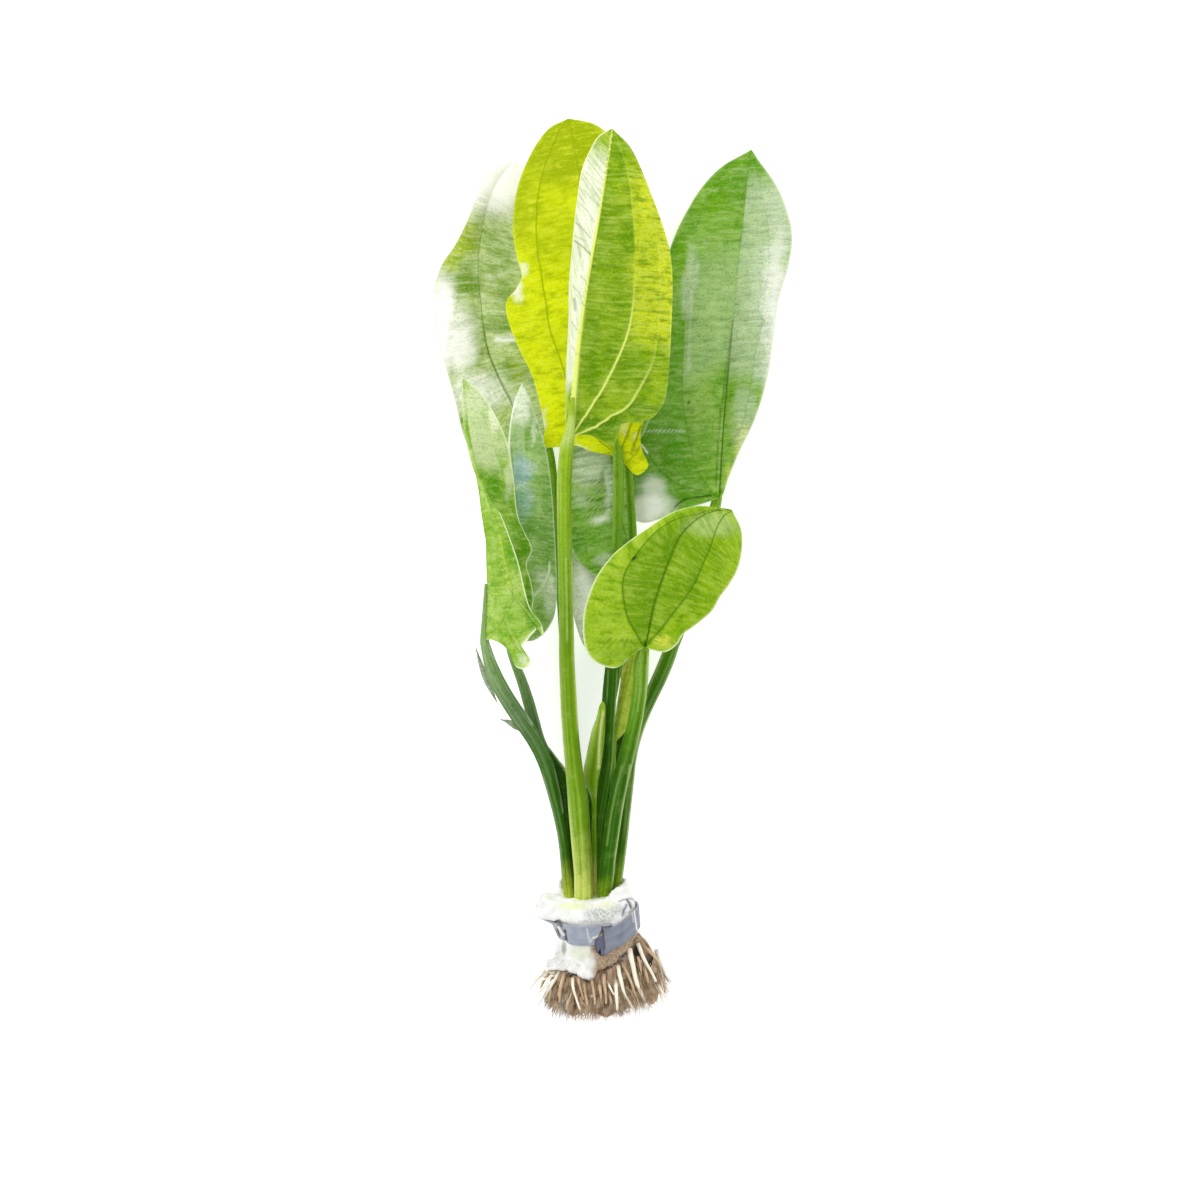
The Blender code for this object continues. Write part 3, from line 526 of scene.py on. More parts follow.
            ("glare", 652, 488, 20, 18, 0.7), ("light", 650, 470, 18, 16, 0.8),
            ("warm", 744, 447, 11, 30, 1.0), ("deep", 735, 178, 40, 40, 0.6),
            ("painted_sheen", 690, 285, 9, 50, 0.5), ("painted_sheen", 758, 290, 18, 80, 0.6),
            ("deep", 672, 447, 30, 34, 0.9), ("deep", 708, 350, 12, 22, 0.3),
            ("painted_sheen", 771, 320, 15, 120, 1.0), ("glare", 778, 300, 8, 90, 0.5),
            ("deep", 704, 440, 14, 40, 0.35), ("painted_sheen", 745, 420, 16, 50, 0.4),
            ("deep", 686, 205, 12, 40, 0.5), ("light", 712, 400, 14, 60, 0.4),
        ],
        "lines": [
            ("dark_mark_and_shadow", 0.8, 1.0, 0.0, [(687.5, 401), (690.3, 405), (691.6, 414)]), ("painted_sheen", 0.8, 0.9, 0.0,
            [(646, 431.5), (664, 431), (684, 431.5)]), ("glare", 0.9, 1.0, 0.2, [(641.5, 445),
            (644.5, 448.5), (647.5, 453)]), ("light", 0.8, 0.6, 0.0, [(663, 414.5), (684, 413.5)]),
            ("light", 0.8, 0.6, 0.0, [(667, 453.5), (678, 451), (691, 450)]), ("light", 0.8, 0.6, 0.0,
            [(668, 369), (682, 371)]), ("light", 0.8, 0.5, 0.0, [(671, 350), (681, 352)]),
            ("light", 1.0, 0.9, 0.1, [(650, 454), (662, 471), (677, 482), (691, 487), (711, 491)]),
            ("deep", 1.3, 0.8, 0.0, [(652, 460), (664, 474.5), (680, 485.5), (692, 490)]),
            # a painted shadow along the crease under the lower lobe
            ("dark_mark_and_shadow", 1.1, 0.8, -0.2, [(675, 507.5), (683, 501), (691, 498.5), (711, 495.5)]),
            ("light", 0.9, 0.7, 0.0, [(736, 320), (731, 355), (727, 390), (723, 421), (720, 453)]),
            ("painted_sheen", 1.1, 0.55, 0.1, [(704, 240), (697, 268), (692, 290), (689, 330), (687.5, 372)]),
            ("dark_mark_and_shadow", 1.0, 0.5, 0.0, [(733, 320), (728, 355), (724, 390), (719.5, 421), (717.5, 453),
            (716, 485)]), ("warm", 2.2, 0.8, 0.2, [(728, 466), (727, 476), (731, 488)]),
        ],
    },
    "folded_leaf": {
        "midrib": [
            (-47.5, 120, 60), (-46, 138, 62), (-46.5, 162, 64), (-49, 181.5, 64), (-52, 199, 63),
            (-55, 217, 61), (-57, 235.5, 57),
        ],
        "left": [
            (-47.5, 120, 60), (-39, 122, 53), (-29.5, 128, 50), (-26.5, 137, 50), (-27.5, 146, 50),
            (-29.5, 153.5, 50), (-27, 160.5, 50), (-30, 167.5, 50), (-33.5, 175.5, 50), (-35, 191, 51),
            (-38, 207.5, 52), (-44, 221, 54), (-50, 230, 56), (-57, 235.5, 57),
        ],
        "right": "folded",
        "belly": ((0, 0, -2.0), (-1.0, 0, 2.0)),
        "upper": -1,
        "veins": (
            [(0.25, 1.2, [(528, 618), (524, 560), (512, 510), (498, 460), (484, 420), (470, 392)])],
            [(0.35, 1.2, [(488, 625), (496, 601), (495, 584.5), (491, 556.5), (487, 531), (480, 500),
            (470, 450)]), (0.5, 1.2, [(497, 628), (508, 612), (512.5, 600), (511.5, 584.5), (508, 569),
            (505, 551.5), (502.5, 536), (495, 514), (484, 498)])],
        ),
        "rib": (0.3, 0.5, 0.35),
        "cross": (2.3, 0.1, 0.05, 0.35),
        "bulge": 0.03,
        "wave": (0.35, 11),
        "rim": (0.8, 0.9),
        "slot": "leaf_green",
        "finish": "grass",
        "zones": [
            ("deep", 0, 0, 0.3, 0.3, 0.7), ("deep", 0, 1, 0.6, 0.0, 0.6), ("painted_sheen", 0, 0, 0.55, 0.66, 1.0),
            ("painted_sheen", 0, 1, 0.4, 0.7, 1.0),
        ],
        "patches": [
            ("deep", 492, 486, 11, 26, 1.0), ("deep", 520, 545, 14, 34, 0.9),
            ("painted_sheen", 474, 400, 22, 24, 0.7), ("painted_sheen", 492, 420, 8, 22, 1.0),
            ("painted_sheen", 508, 478, 6, 30, 0.5), ("warm", 473, 383, 6, 5, 0.9), ("deep", 532, 622, 8, 7, 0.9),
            ("painted_sheen", 524, 661, 7, 8, 0.6), ("light", 484, 610, 5, 60, 0.5),
            ("painted_sheen", 532, 640, 10, 8, 0.35), ("deep", 528, 600, 6, 24, 0.9),
        ],
        "lines": [
            ("painted_sheen", 1.0, 0.9, 0.0, [(459, 373), (462, 384), (462, 412), (465, 438), (472.5, 464.5)]),
            ("warm", 1.3, 0.7, 0.0, [(500, 536), (503, 552), (507, 575), (508, 590)]),
            ("painted_sheen", 0.9, 0.6, 0.0, [(478, 390), (484, 410), (489, 432), (497, 452)]),
            ("painted_sheen", 0.9, 0.6, 0.0, [(470, 395), (473, 425), (478, 455)]), ("light", 0.9, 0.8, 0.1,
            [(487.5, 545), (489.5, 570), (489.5, 600), (488, 628)]), ("painted_sheen", 1.0, 0.7, 0.2, [(517, 652),
            (522, 645), (529, 638), (536, 630)]), ("deep", 1.2, 0.5, 0.0, [(473, 392), (480, 430),
            (487, 462)]), ("dark_mark_and_shadow", 1.3, 0.35, 0.0, [(505, 642), (502, 645)]),
        ],
    },
    "inner_leaf": {
        "midrib": [
            (-39, 121, 37), (-35.5, 138, 39), (-32.5, 156, 41), (-31, 174, 42), (-30, 191.5, 43),
            (-30.5, 209.5, 43), (-31.5, 223, 42), (-32, 235.5, 39),
        ],
        "left": [
            (-39, 121, 37), (-42, 126.5, 36), (-43, 142.5, 37), (-42, 160.5, 38), (-39.5, 178.5, 39),
            (-38, 192, 40), (-38, 203, 41), (-37.5, 214, 42), (-35.5, 226, 41), (-32, 235.5, 39),
        ],
        "right": [
            (-39, 121, 37), (-33, 119.5, 35), (-27, 119.5, 34), (-22, 123, 33), (-18, 129.5, 33),
            (-16.5, 138, 34), (-16.5, 151.5, 35), (-17.5, 169.5, 36), (-19, 192, 38), (-21, 204.5, 39),
            (-24, 215.5, 40), (-28, 227, 40), (-32, 235.5, 39),
        ],
        "belly": ((0, 0, 0.5), (0, 0, 1.0)),
        "veins": (
            [], [(0.0, 1.2, [(538, 620), (545, 590), (548, 550), (546, 500), (540, 450), (530, 405)])],
        ),
        "rib": (0.0, 0.4, 0.3),
        "cross": (2.2, 0.1, 0.05, 0.6),
        "bulge": 0.04,
        "wave": (0.4, 12),
        "rim": (1.0, 0.5),
        "slot": "leaf_pale",
        "finish": "sage",
        "zones": [("painted_sheen", 0, 0, 0.25, 0.6, 1.0)],
        "patches": [
            ("painted_sheen", 520, 402, 16, 28, 1.0), ("painted_sheen", 532, 430, 4, 20, 0.6),
            # the sky patches paint a reflection of the sky on the blade
            ("deep", 524, 440, 6, 16, 0.4), ("sky", 521, 472, 14, 24, 1.0), ("sky", 524, 500, 12, 26, 0.55),
            ("deep", 526, 514, 15, 36, 1.0), ("painted_sheen", 523, 477, 5, 4, 0.7),
            ("painted_sheen", 520, 466, 9, 9, 0.35), ("deep", 545, 535, 14, 22, 0.6),
            ("deep", 549, 505, 8, 30, 0.5), ("painted_sheen", 552, 585, 6, 14, 0.9),
            ("painted_sheen", 546, 578, 10, 12, 0.6), ("painted_sheen", 549, 600, 9, 26, 0.6),
            ("light", 544, 596, 14, 34, 0.8), ("deep", 548, 604, 10, 9, 0.9),
            ("painted_sheen", 540, 572, 7, 12, 0.3), ("warm", 548, 620, 8, 8, 0.3),
        ],
        "lines": [
            ("painted_sheen", 1.5, 1.0, 0.1, [(519, 384), (513, 402), (509.5, 430), (508.5, 447), (511, 470),
            (514, 495), (518, 520)]), ("glare", 1.0, 0.8, 0.1, [(508.5, 432), (509, 447), (511, 470)]),
            ("painted_sheen", 1.1, 1.0, 0.2, [(549.7, 562), (548.5, 572), (544.6, 582), (540.8, 588.5),
            (534, 595)]), ("light", 0.9, 0.8, 0.0, [(539, 421), (548.7, 457), (552.4, 479), (556, 500),
            (557, 530)]), ("dark_mark_and_shadow", 0.9, 0.35, 0.0, [(512, 452), (514, 480), (518, 508)]),
        ],
    },
    "small_leaf": {
        "midrib": [
            (23, 117.5, 68), (26.5, 135.5, 73), (30, 147, 75), (34, 157.5, 77), (38, 166, 78),
            (45, 173, 78), (53, 176.5, 76), (60.5, 176.5, 74),
        ],
        "left": [
            (23, 117.5, 68), (19, 115.5, 69), (15.5, 112.5, 70), (10, 108.5, 71), (3, 110, 73),
            (-2, 114.5, 74), (-4, 122.5, 75), (-3.5, 133.5, 77), (1, 146.5, 79), (8, 156.5, 80),
            (15, 162.5, 81), (24, 169, 81), (32.5, 174.5, 81), (41, 177.5, 80), (50.5, 178, 77),
            (60.5, 176.5, 74),
        ],
        "right": [
            (23, 117.5, 68), (26.5, 116, 68), (32, 115.5, 69), (36.5, 118.5, 69), (39.5, 123, 69),
            (45.5, 127.5, 69), (52, 133, 69), (55.5, 139, 69), (59.5, 144.5, 69), (63, 151, 69),
            (65, 159.5, 70), (64.5, 168.5, 72), (60.5, 176.5, 74),
        ],
        "belly": ((0, 0, 2.0), (0, 0, 2.0)),
        "veins": (
            [(0.75, 1.2, [(641.5, 643), (634, 630), (627.5, 617.5), (624, 602), (622.5, 584.5),
            (626.5, 569), (636.5, 554), (647, 541), (660, 528.5), (676, 519), (700, 513)])], [(0.7, 1.2,
            [(650.5, 640.5), (662, 628), (675, 611), (687.5, 594.5), (696.5, 579.5), (704, 561.5),
            (711, 545), (716, 530), (722, 518)])],
        ),
        "rib": (0.75, [(0, 0.85), (0.5, 0.7), (1, 0.4)], 0.6),
        "cross": (3.6, 0.15, 0.1, 0.8),
        "bulge": 0.06,
        "wave": (0.4, 13),
        "rim": (1.0, 1.0),
        "slot": "leaf_green",
        "finish": "fresh",
        "zones": [
            ("deep", 0, 0, 0.7, 0.04, 0.75), ("deep", 1, 0, 0.6, 0.08, 0.75),
            ("light", 0, 1, 0.25, 0.1, 0.9),
        ],
        "patches": [
            ("warm", 664, 641, 15, 9, 1.0), ("painted_sheen", 712, 524, 36, 16, 0.4), ("deep", 627, 641, 9, 5, 0.7),
            ("deep", 640, 590, 18, 34, 0.8), ("deep", 690, 590, 12, 26, 0.7),
            ("light", 615, 560, 20, 40, 0.4), ("deep", 656, 630, 8, 18, 0.7),
            ("deep", 698, 533, 10, 6, 0.5), ("deep", 617, 653, 24, 8, 0.5),
            ("light", 600, 620, 14, 30, 0.5), ("painted_sheen", 627, 662, 6, 5, 0.9),
            ("deep", 716, 560, 12, 24, 0.35),
        ],
        "lines": [
            ("dark_mark_and_shadow", 1.5, 1.0, 0.0, [(633, 559), (635.5, 557)]), ("dark_mark_and_shadow", 0.9, 0.7, 0.0, [(664, 556),
            (665, 558)]), ("dark_mark_and_shadow", 0.8, 0.6, 0.0, [(680.5, 617), (685, 614)]), ("dark_mark_and_shadow", 0.8, 0.6, 0.0,
            [(688, 613), (693, 609.5)]), ("light", 1.1, 0.8, 0.1, [(646.5, 645), (650.5, 630), (656.5, 603),
            (662.5, 586), (667, 570)]), ("light", 1.1, 0.8, 0.1, [(636, 634), (627.5, 620), (623, 606)]),
            ("deep", 1.4, 0.6, -0.1, [(602, 632), (611, 640), (622, 643.5)]), ("deep", 3.4, 0.5, 0.0,
            [(650, 640), (662, 612), (674, 590), (688, 566), (700, 545)]), ("deep", 2.6, 0.4, 0.0,
            [(662, 628), (676, 611), (690, 592), (700, 572)]), ("deep", 2.6, 0.4, 0.0, [(630, 622),
            (624, 602), (624, 580), (634, 558)]), ("dark_mark_and_shadow", 1.4, 0.7, 0.0, [(644.5, 649), (645, 642)]),
        ],
    },
    "middle_leaf": {
        "midrib": [
            (19, 155.5, 16), (15, 168, 17), (11.5, 184, 17), (9, 200.5, 17), (6, 216.5, 16), (2.5, 234, 15),
        ],
        "left": [
            (19, 155.5, 16), (13.5, 149.5, 15), (7, 147, 14), (1, 149, 14), (-6, 155, 14),
            (-10.5, 163.5, 14), (-13.5, 177.5, 15), (-14, 193.5, 15), (-11.5, 209.5, 15), (-7, 223.5, 15),
            (2.5, 234, 15),
        ],
        "right": [
            (19, 155.5, 16), (20.5, 163.5, 15), (19.5, 179.5, 15), (18.5, 193.5, 15), (16.5, 207.5, 15),
            (11.5, 223.5, 15), (2.5, 234, 15),
        ],
        "belly": ((0, 0, 1.0), (0, 0, 0.5)),
        "veins": (
            [(0.0, 1.2, [(611, 554), (601, 550), (589, 543.5), (579, 532), (571.5, 519), (568, 500),
            (570, 470)])], [],
        ),
        "rib": (0.4, 0.45, 0.3),
        "cross": (2.6, 0.0, 0.0, 1.3),
        "bulge": 0.06,
        "wave": (0.8, 9),
        "rim": (0.5, 0.5),
        "slot": "leaf_pale",
        "finish": "meadow",
        "patches": [
            ("painted_sheen", 590, 462, 26, 32, 0.8), ("glare", 602, 520, 13, 5, 0.7),
            ("painted_sheen", 608, 490, 6, 40, 0.8), ("painted_sheen", 584, 500, 10, 12, 0.5),
            ("light", 592, 484, 28, 56, 1.0), ("warm", 588, 474, 16, 22, 0.45),
            ("deep", 580, 545, 14, 14, 0.8), ("deep", 600, 538, 14, 9, 0.5),
            ("painted_sheen", 604, 560, 12, 7, 0.5), ("deep", 576, 505, 6, 20, 0.5),
        ],
        "lines": [
            ("light", 0.9, 0.9, 0.1, [(571.5, 519), (579, 532), (589, 543.5), (601, 550), (611, 554)]),
            ("dark_mark_and_shadow", 0.9, 0.8, -0.1, [(586, 499), (596, 500.5), (603, 498)]), ("dark_mark_and_shadow", 0.8, 0.6, -0.1,
            [(583, 482), (594, 481), (602, 484)]), ("dark_mark_and_shadow", 0.9, 0.7, -0.1, [(588, 509), (600, 510),
            (611, 507)]), ("dark_mark_and_shadow", 0.7, 0.5, 0.0, [(602, 472), (602.5, 486), (604, 502)]),
            ("painted_sheen", 0.8, 0.8, 0.1, [(594, 492), (602, 492.5)]), ("painted_sheen", 0.8, 0.7, 0.1, [(590, 505),
            (604, 505)]), ("dark_mark_and_shadow", 0.8, 0.5, 0.0, [(584, 517), (597, 515)]), ("dark_mark_and_shadow", 0.8, 0.5, 0.0,
            [(592, 489), (606, 491)]),
        ],
    },
    "hidden_leaf": {
        "plain": True,
        "midrib": [(15.5, 205, 29), (13.5, 229, 30), (11, 256.5, 30), (8, 283.5, 30), (3, 313.5, 28)],
        "left": [
            (15.5, 205, 29), (10, 209, 28), (3, 220, 28), (-2.5, 238.5, 28), (-6, 261, 28), (-7, 284, 28),
            (-4, 302, 28), (3, 313.5, 28),
        ],
        "right": [
            (15.5, 205, 29), (21.5, 211, 29), (27, 224.5, 29), (28.5, 242.5, 29), (28, 265.5, 28),
            (24, 288.5, 28), (14.5, 306, 28), (3, 313.5, 28),
        ],
        "belly": ((0, 0, 0.5), (0, 0, 0.5)),
        "rib": (0.8, 0.5, 0.4),
        "cross": (2.8, 0.1, 0.1, 0.8),
        "bulge": 0.05,
        "wave": (0.5, 16),
        "rim": (0.4, 0.4),
        "slot": "leaf_deep",
        "finish": "meadow",
        "zones": [("deep", 0, 0, 0.6, 0.0, 1.0), ("deep", 1, 0, 0.5, 0.0, 1.0)],
    },
    "low_leaf": {
        "midrib": [(7, 119.5, 9), (4.5, 138, 9), (3, 156.5, 9), (2, 180, 8), (-0.5, 202.5, 7)],
        "left": [
            (7, 119.5, 9), (2.5, 114.5, 8), (-3, 115, 8), (-6.5, 121.5, 8), (-9.5, 132.5, 8),
            (-10, 143.5, 8), (-10, 159, 8), (-9.5, 177.5, 8), (-6, 193, 7), (-0.5, 202.5, 7),
        ],
        "right": [
            (7, 119.5, 9), (10.5, 122, 9), (12.5, 135.5, 9), (11.5, 154, 8), (9.5, 173, 8), (5.5, 191.5, 7),
            (-0.5, 202.5, 7),
        ],
        "belly": ((0, 0, 0.5), (0, 0, 0.5)),
        "rib": (0.4, 0.45, 0.3),
        "cross": (2.4, 0.1, 0.1, 0.5),
        "bulge": 0.04,
        "wave": (0.4, 12),
        "rim": (0.6, 0.6),
        "slot": "leaf_pale",
        "finish": "glare_washed",
        "patches": [
            ("painted_sheen", 584, 600, 22, 60, 1.0), ("glare", 586, 590, 7, 40, 0.6),
            ("deep", 580, 640, 5, 24, 0.7), ("light", 578, 610, 6, 30, 0.9),
        ],
        "lines": [("deep", 0.9, 0.5, 0.0, [(585, 575), (584, 600), (584, 625)])],
    },
    "young_leaf": {
        "midrib": [(9.5, 71.5, 22), (13.5, 90, 24), (18, 109.5, 26), (21.5, 129.5, 26)],
        "left": [(9.5, 71.5, 22), (10, 82, 22), (12, 95.5, 23), (15, 114, 25), (21.5, 129.5, 26)],
        "right": [(9.5, 71.5, 22), (15.5, 79, 23), (20.5, 92, 25), (24.5, 110.5, 26), (21.5, 129.5, 26)],
        "belly": ((0, 0, -1.0), (0, 0, -1.0)),
        "rib": (0.5, 0.35, 0.25),
        "cross": (2.0, 0.4, 0.4, 0.3),
        "bulge": 0.03,
        "wave": (0.25, 9),
        "rim": (0.4, 0.4),
        "slot": "leaf_yellow",
        "finish": "bud",
        "patches": [("deep", 618, 700, 6, 24, 0.5)],
        "lines": [
            ("painted_sheen", 0.9, 0.5, 0.0, [(629, 660), (619, 680), (617, 700), (615, 722)]),
            ("deep", 1.0, 0.6, 0.0, [(628, 665), (624, 690), (618, 715)]),
        ],
    },
    "inner_sheath": {
        **tornEdge,
        "node": "inner_stem",
        "midrib": fromPicture([
            (549, 747, 27), (555, 764, 27), (561, 785, 26), (565, 810, 25), (569, 845, 24), (571, 862, 23),
        ]),
        "left": fromPicture([
            (549, 747, 27), (552, 760, 26.5), (556, 778, 25.5), (561, 803, 24.5), (567, 838, 23.5),
            (571, 862, 23),
        ]),
        "right": fromPicture([
            (549, 747, 27), (558, 759, 28), (567, 772.5, 28), (568.5, 795, 27), (570, 830, 25),
            (571, 862, 23),
        ]),
        "belly": ((0, 0, 0.3), (0, 0, 0.5)),
        "wave": (0.1, 8),
        "rim": (0.1, 0.9),
        "finish": "bottle",
        "patches": [("deep", 562, 790, 20, 60, 1.0)],
        "lines": [("painted_sheen", 1.0, 0.9, 0.0, [(549, 747), (558, 759), (567, 772.5)])],
    },
    "torn_skin": {
        **tornEdge,
        "node": "folded_stem",
        "midrib": fromPicture([(497, 702, 48), (489, 686, 50), (482.5, 669, 52), (476, 648, 54)]),
        "left": fromPicture([(497, 702, 48), (486, 685, 49.5), (479.5, 667, 51.5), (476, 648, 54)]),
        "right": fromPicture([(497, 702, 48), (492, 687, 50.5), (486, 671, 52.5), (476, 648, 54)]),
        "belly": ((0, 0, 0.2), (0, 0, 0.2)),
        "wave": (0.05, 5),
        "rim": (0.3, 0.3),
        "finish": "faded",
        "zones": [("painted_sheen", 0, 0, 0.5, 0.2, 1.0)],
    },
    "torn_sliver": {
        **tornEdge,
        "node": "folded_stem",
        "midrib": fromPicture([(519, 731, 45), (513, 724.5, 45), (507, 721, 44.5), (500.5, 719.5, 44)]),
        "left": fromPicture([(519, 731, 45), (512, 727.5, 45), (506, 722.5, 44.5), (500.5, 719.5, 44)]),
        "right": fromPicture([(519, 731, 45), (516, 722, 45), (510, 720, 44.8), (500.5, 719.5, 44)]),
        "belly": ((0, 0, 0.1), (0, 0, 0.1)),
        "wave": (0.05, 5),
        "rim": (0.3, 0.3),
        "finish": "faded",
    },
}

# The near margin of the folded blade with its curl and ruffles: picture place and height in mm
foldedMargin = [
    (484.6, 640.7, 60), (489, 639.5, 63), (496, 641.5, 66), (503, 645, 69), (508, 649.5, 71),
    (513, 652.5, 73), (514.5, 657, 74), (514.5, 663, 75), (518, 668, 76.5), (524, 669, 77.2),
    (529, 666, 77), (530.5, 661, 76.5), (527.5, 656.5, 75.6), (522, 654.5, 74.8), (520.5, 651, 74.2),
    (523, 645.5, 73.8), (527, 641, 73.5), (531, 635, 73), (535.5, 630.5, 72.5), (537.5, 624.5, 72),
    (541, 628, 72.8), (543.5, 636, 73.6), (542.5, 627, 72.6), (538, 619, 72), (533.5, 614, 72),
    (529.6, 607.6, 72.5), (524.5, 590, 74), (519, 567, 75.5), (514, 549, 76), (507.6, 531, 76),
    (501, 515.7, 75), (491, 503, 72.5), (483.4, 491.5, 70), (478.3, 480, 67.5), (472.4, 464.5, 65),
    (466, 440, 63), (463, 412, 61), (462, 390, 58.5), (463.5, 378.7, 57),
]
leaves["folded_leaf"]["right"] = fromPicture(foldedMargin)

leafFinishes = {
    # deep, middle, light, warm, painted sheen, vein, dark line, light line and margin colours, then
    # roughness
    "sunlit": ((84, 134, 0), (138, 176, 8), (166, 194, 30), (222, 232, 44), (244, 248, 222), (226, 238, 124),
               (80, 124, 0), (186, 210, 92), (240, 246, 190), 0.42),
    "yellow": ((150, 172, 8), (214, 228, 0), (236, 245, 8), (214, 214, 20), (252, 254, 234), (140, 162, 2),
               (166, 186, 0), (232, 240, 64), (230, 240, 80), 0.42),
    # pale greens of a whitish blade, in part a painted glare washing over the whole blade
    "glare_washed": ((112, 150, 26), (164, 190, 92), (210, 226, 166), (176, 198, 30), (254, 255, 246),
               (96, 130, 36),
               (98, 134, 30), (226, 236, 196), (216, 226, 190), 0.34),
    "meadow": ((84, 152, 0), (126, 180, 26), (160, 200, 92), (204, 216, 60), (244, 250, 234), (54, 104, 4),
               (66, 124, 0), (186, 216, 136), (232, 242, 212), 0.36),
    "grass": ((84, 152, 0), (138, 182, 44), (162, 198, 84), (190, 210, 56), (244, 251, 216), (126, 168, 26),
              (92, 142, 8), (210, 230, 144), (242, 249, 208), 0.38),
    "sage": ((90, 148, 30), (128, 176, 66), (166, 202, 118), (156, 188, 56), (242, 249, 226), (90, 134, 48),
             (72, 122, 24), (202, 224, 170), (244, 250, 232), 0.3),
    "fresh": ((92, 142, 0), (138, 180, 6), (166, 200, 44), (212, 222, 76), (214, 232, 170), (72, 120, 0),
              (88, 134, 0), (184, 210, 88), (234, 244, 188), 0.4),
    "bottle": ((30, 74, 4), (46, 92, 8), (70, 112, 24), (120, 140, 40), (190, 208, 150), (40, 84, 6),
               (30, 70, 4), (80, 120, 40), (150, 180, 110), 0.4),
    "faded": ((92, 112, 80), (124, 144, 108), (156, 172, 140), (146, 156, 106), (196, 206, 188),
              (108, 128, 88),
              (92, 112, 76), (184, 196, 170), (188, 198, 176), 0.5),
    "bud": ((108, 146, 16), (148, 178, 34), (182, 200, 68), (206, 210, 60), (224, 230, 150), (120, 146, 26),
            (132, 152, 26), (206, 214, 110), (216, 224, 130), 0.45),
}


def leafMaterial(name, finish):
    tones = [paint(*colour) for colour in finish[:9]]
    deep, middle, fair, warm, painted_sheen, vein, darkLine, lightLine, rim = tones
    make = Recipe(name)
    place = make.place()
    surface = make.surface()
    cloud = make.remap(make.noise(place, 42.0, 2.0), 0.36, 0.66)
    blotch = make.noise(make.stretch(surface, (110.0, 240.0, 1.0)), 1.0, 3.0, 0.65)
    grain = make.noise(make.stretch(surface, (900.0, 1100.0, 1.0)), 1.0, 2.0, 0.6)
    streaks = make.noise(make.stretch(surface, (200.0, 540.0, 1.0)), 1.0, 3.0, 0.6)
    base = make.mix(cloud, middle, fair)
    # lighter and darker tones of the blade, in places painted light over shaded parts and painted shade in
    # folds
    base = make.mix(make.mark("light"), base, fair)
    base = make.mix(make.mark("deep"), base, deep)
    base = make.mix(make.mark("warm"), base, warm)
    base = make.mix(make.remap(blotch, 0.5, 0.34, 0.0, 0.7), base, deep)
    base = make.mix(make.remap(blotch, 0.52, 0.7, 0.0, 0.45), base, lightLine)
    base = make.mix(make.remap(streaks, 0.53, 0.68, 0.0, 0.34), base, lightLine)
    base = make.mix(make.remap(streaks, 0.47, 0.33, 0.0, 0.42), base, darkLine)
    # painted sheen: pale streaked patches, zones and lines that stand for the glossy blade's glare
    shine = make.times(make.mark("painted_sheen"), make.remap(streaks, 0.3, 0.46, 0.7, 1.0))
    base = make.mix(shine, base, painted_sheen)
    # a painted reflection of the sky: bluish tones where the sky mark lies
    skyReflectionLow, skyReflectionHigh = [paint(*colour) for colour in leafStyle["sky"]]
    base = make.mix(make.mark("sky"), base, make.mix(make.remap(blotch, 0.38, 0.66), skyReflectionLow, skyReflectionHigh))
    base = make.mix(make.remap(grain, 0.47, 0.32, 0.0, 0.4), base, darkLine)
    base = make.mix(make.remap(grain, 0.55, 0.7, 0.0, 0.3), base, lightLine)
    net = make.cells(surface, leafStyle["mesh"])
    base = make.mix(make.remap(net, 0.0, 0.14, 0.12, 0.0), base, darkLine)
    bright = make.plus(make.mark("deep"), make.times(make.mark("painted_sheen"), -1.4))
    crossColour = make.mix(make.remap(bright, -0.6, 0.1), darkLine, lightLine)
    broken = make.remap(blotch, 0.36, 0.56, 0.35, 1.0)
    base = make.mix(make.times(make.times(make.mark("cross"), 0.6), broken), base, crossColour)
    base = make.mix(make.times(make.mark("shade"), 0.5), base, darkLine)
    glare = make.times(make.mark("glare"), make.remap(streaks, 0.36, 0.48, 0.9, 1.0))
    base = make.mix(glare, base, paint(*leafStyle["glare"]))
    veinShow = make.times(make.mark("vein"), make.remap(make.mark("glare"), 0.2, 0.9, 1.0, 0.15))
    base = make.mix(veinShow, base, vein)
    base = make.mix(make.mark("rim"), base, rim)
    # darkest marks: real spots and tears, and painted shadow in creases and gaps
    base = make.mix(make.mark("dark_mark_and_shadow"), base, paint(*leafStyle["dark_mark_and_shadow"]))
    height = make.plus(make.times(net, -0.5), make.plus(streaks, make.times(grain, 0.6)))
    rough = make.plus(make.times(grain, 0.14), finish[9] - 0.05)
    return make.finish(base, rough, make.bump(height, 0.00018, 0.8), Specular_IOR_Level=0.03,
                       Subsurface_Weight=0.04, Subsurface_Scale=0.0015)


def ladder(shares, columns):
    # columns between the veins, packed close to each of them
    eased = (1 - np.cos(np.pi * np.arange(columns) / columns)) / 2
    parts = [low[:, None] + (high - low)[:, None] * eased for low, high in zip(shares, shares[1:])]
    return np.hstack(parts + [shares[-1][:, None]])


def bladeShape(leaf, across, rows):
    midrib = evenPath(leaf["midrib"], rows)[:, None]
    sides = [evenPath(leaf[side], rows)[:, None] for side in ("left", "right")]
    onLeft = across[..., None] < 0
    share = np.abs(across)[..., None]
    margin = np.where(onLeft, sides[0], sides[1])
    belly = np.where(onLeft, leaf["belly"][0], leaf["belly"][1])
    along = np.linspace(0, 1, rows + 1)[:, None, None]
    points = midrib + (margin - midrib) * share + belly * np.sin(np.pi * share) * np.sin(np.pi * along)
    points[..., 2] -= leaf["lower"]
    widths = [np.linalg.norm(side - midrib, axis=2) for side in sides]
    return points, np.where(across < 0, widths[0], widths[1])


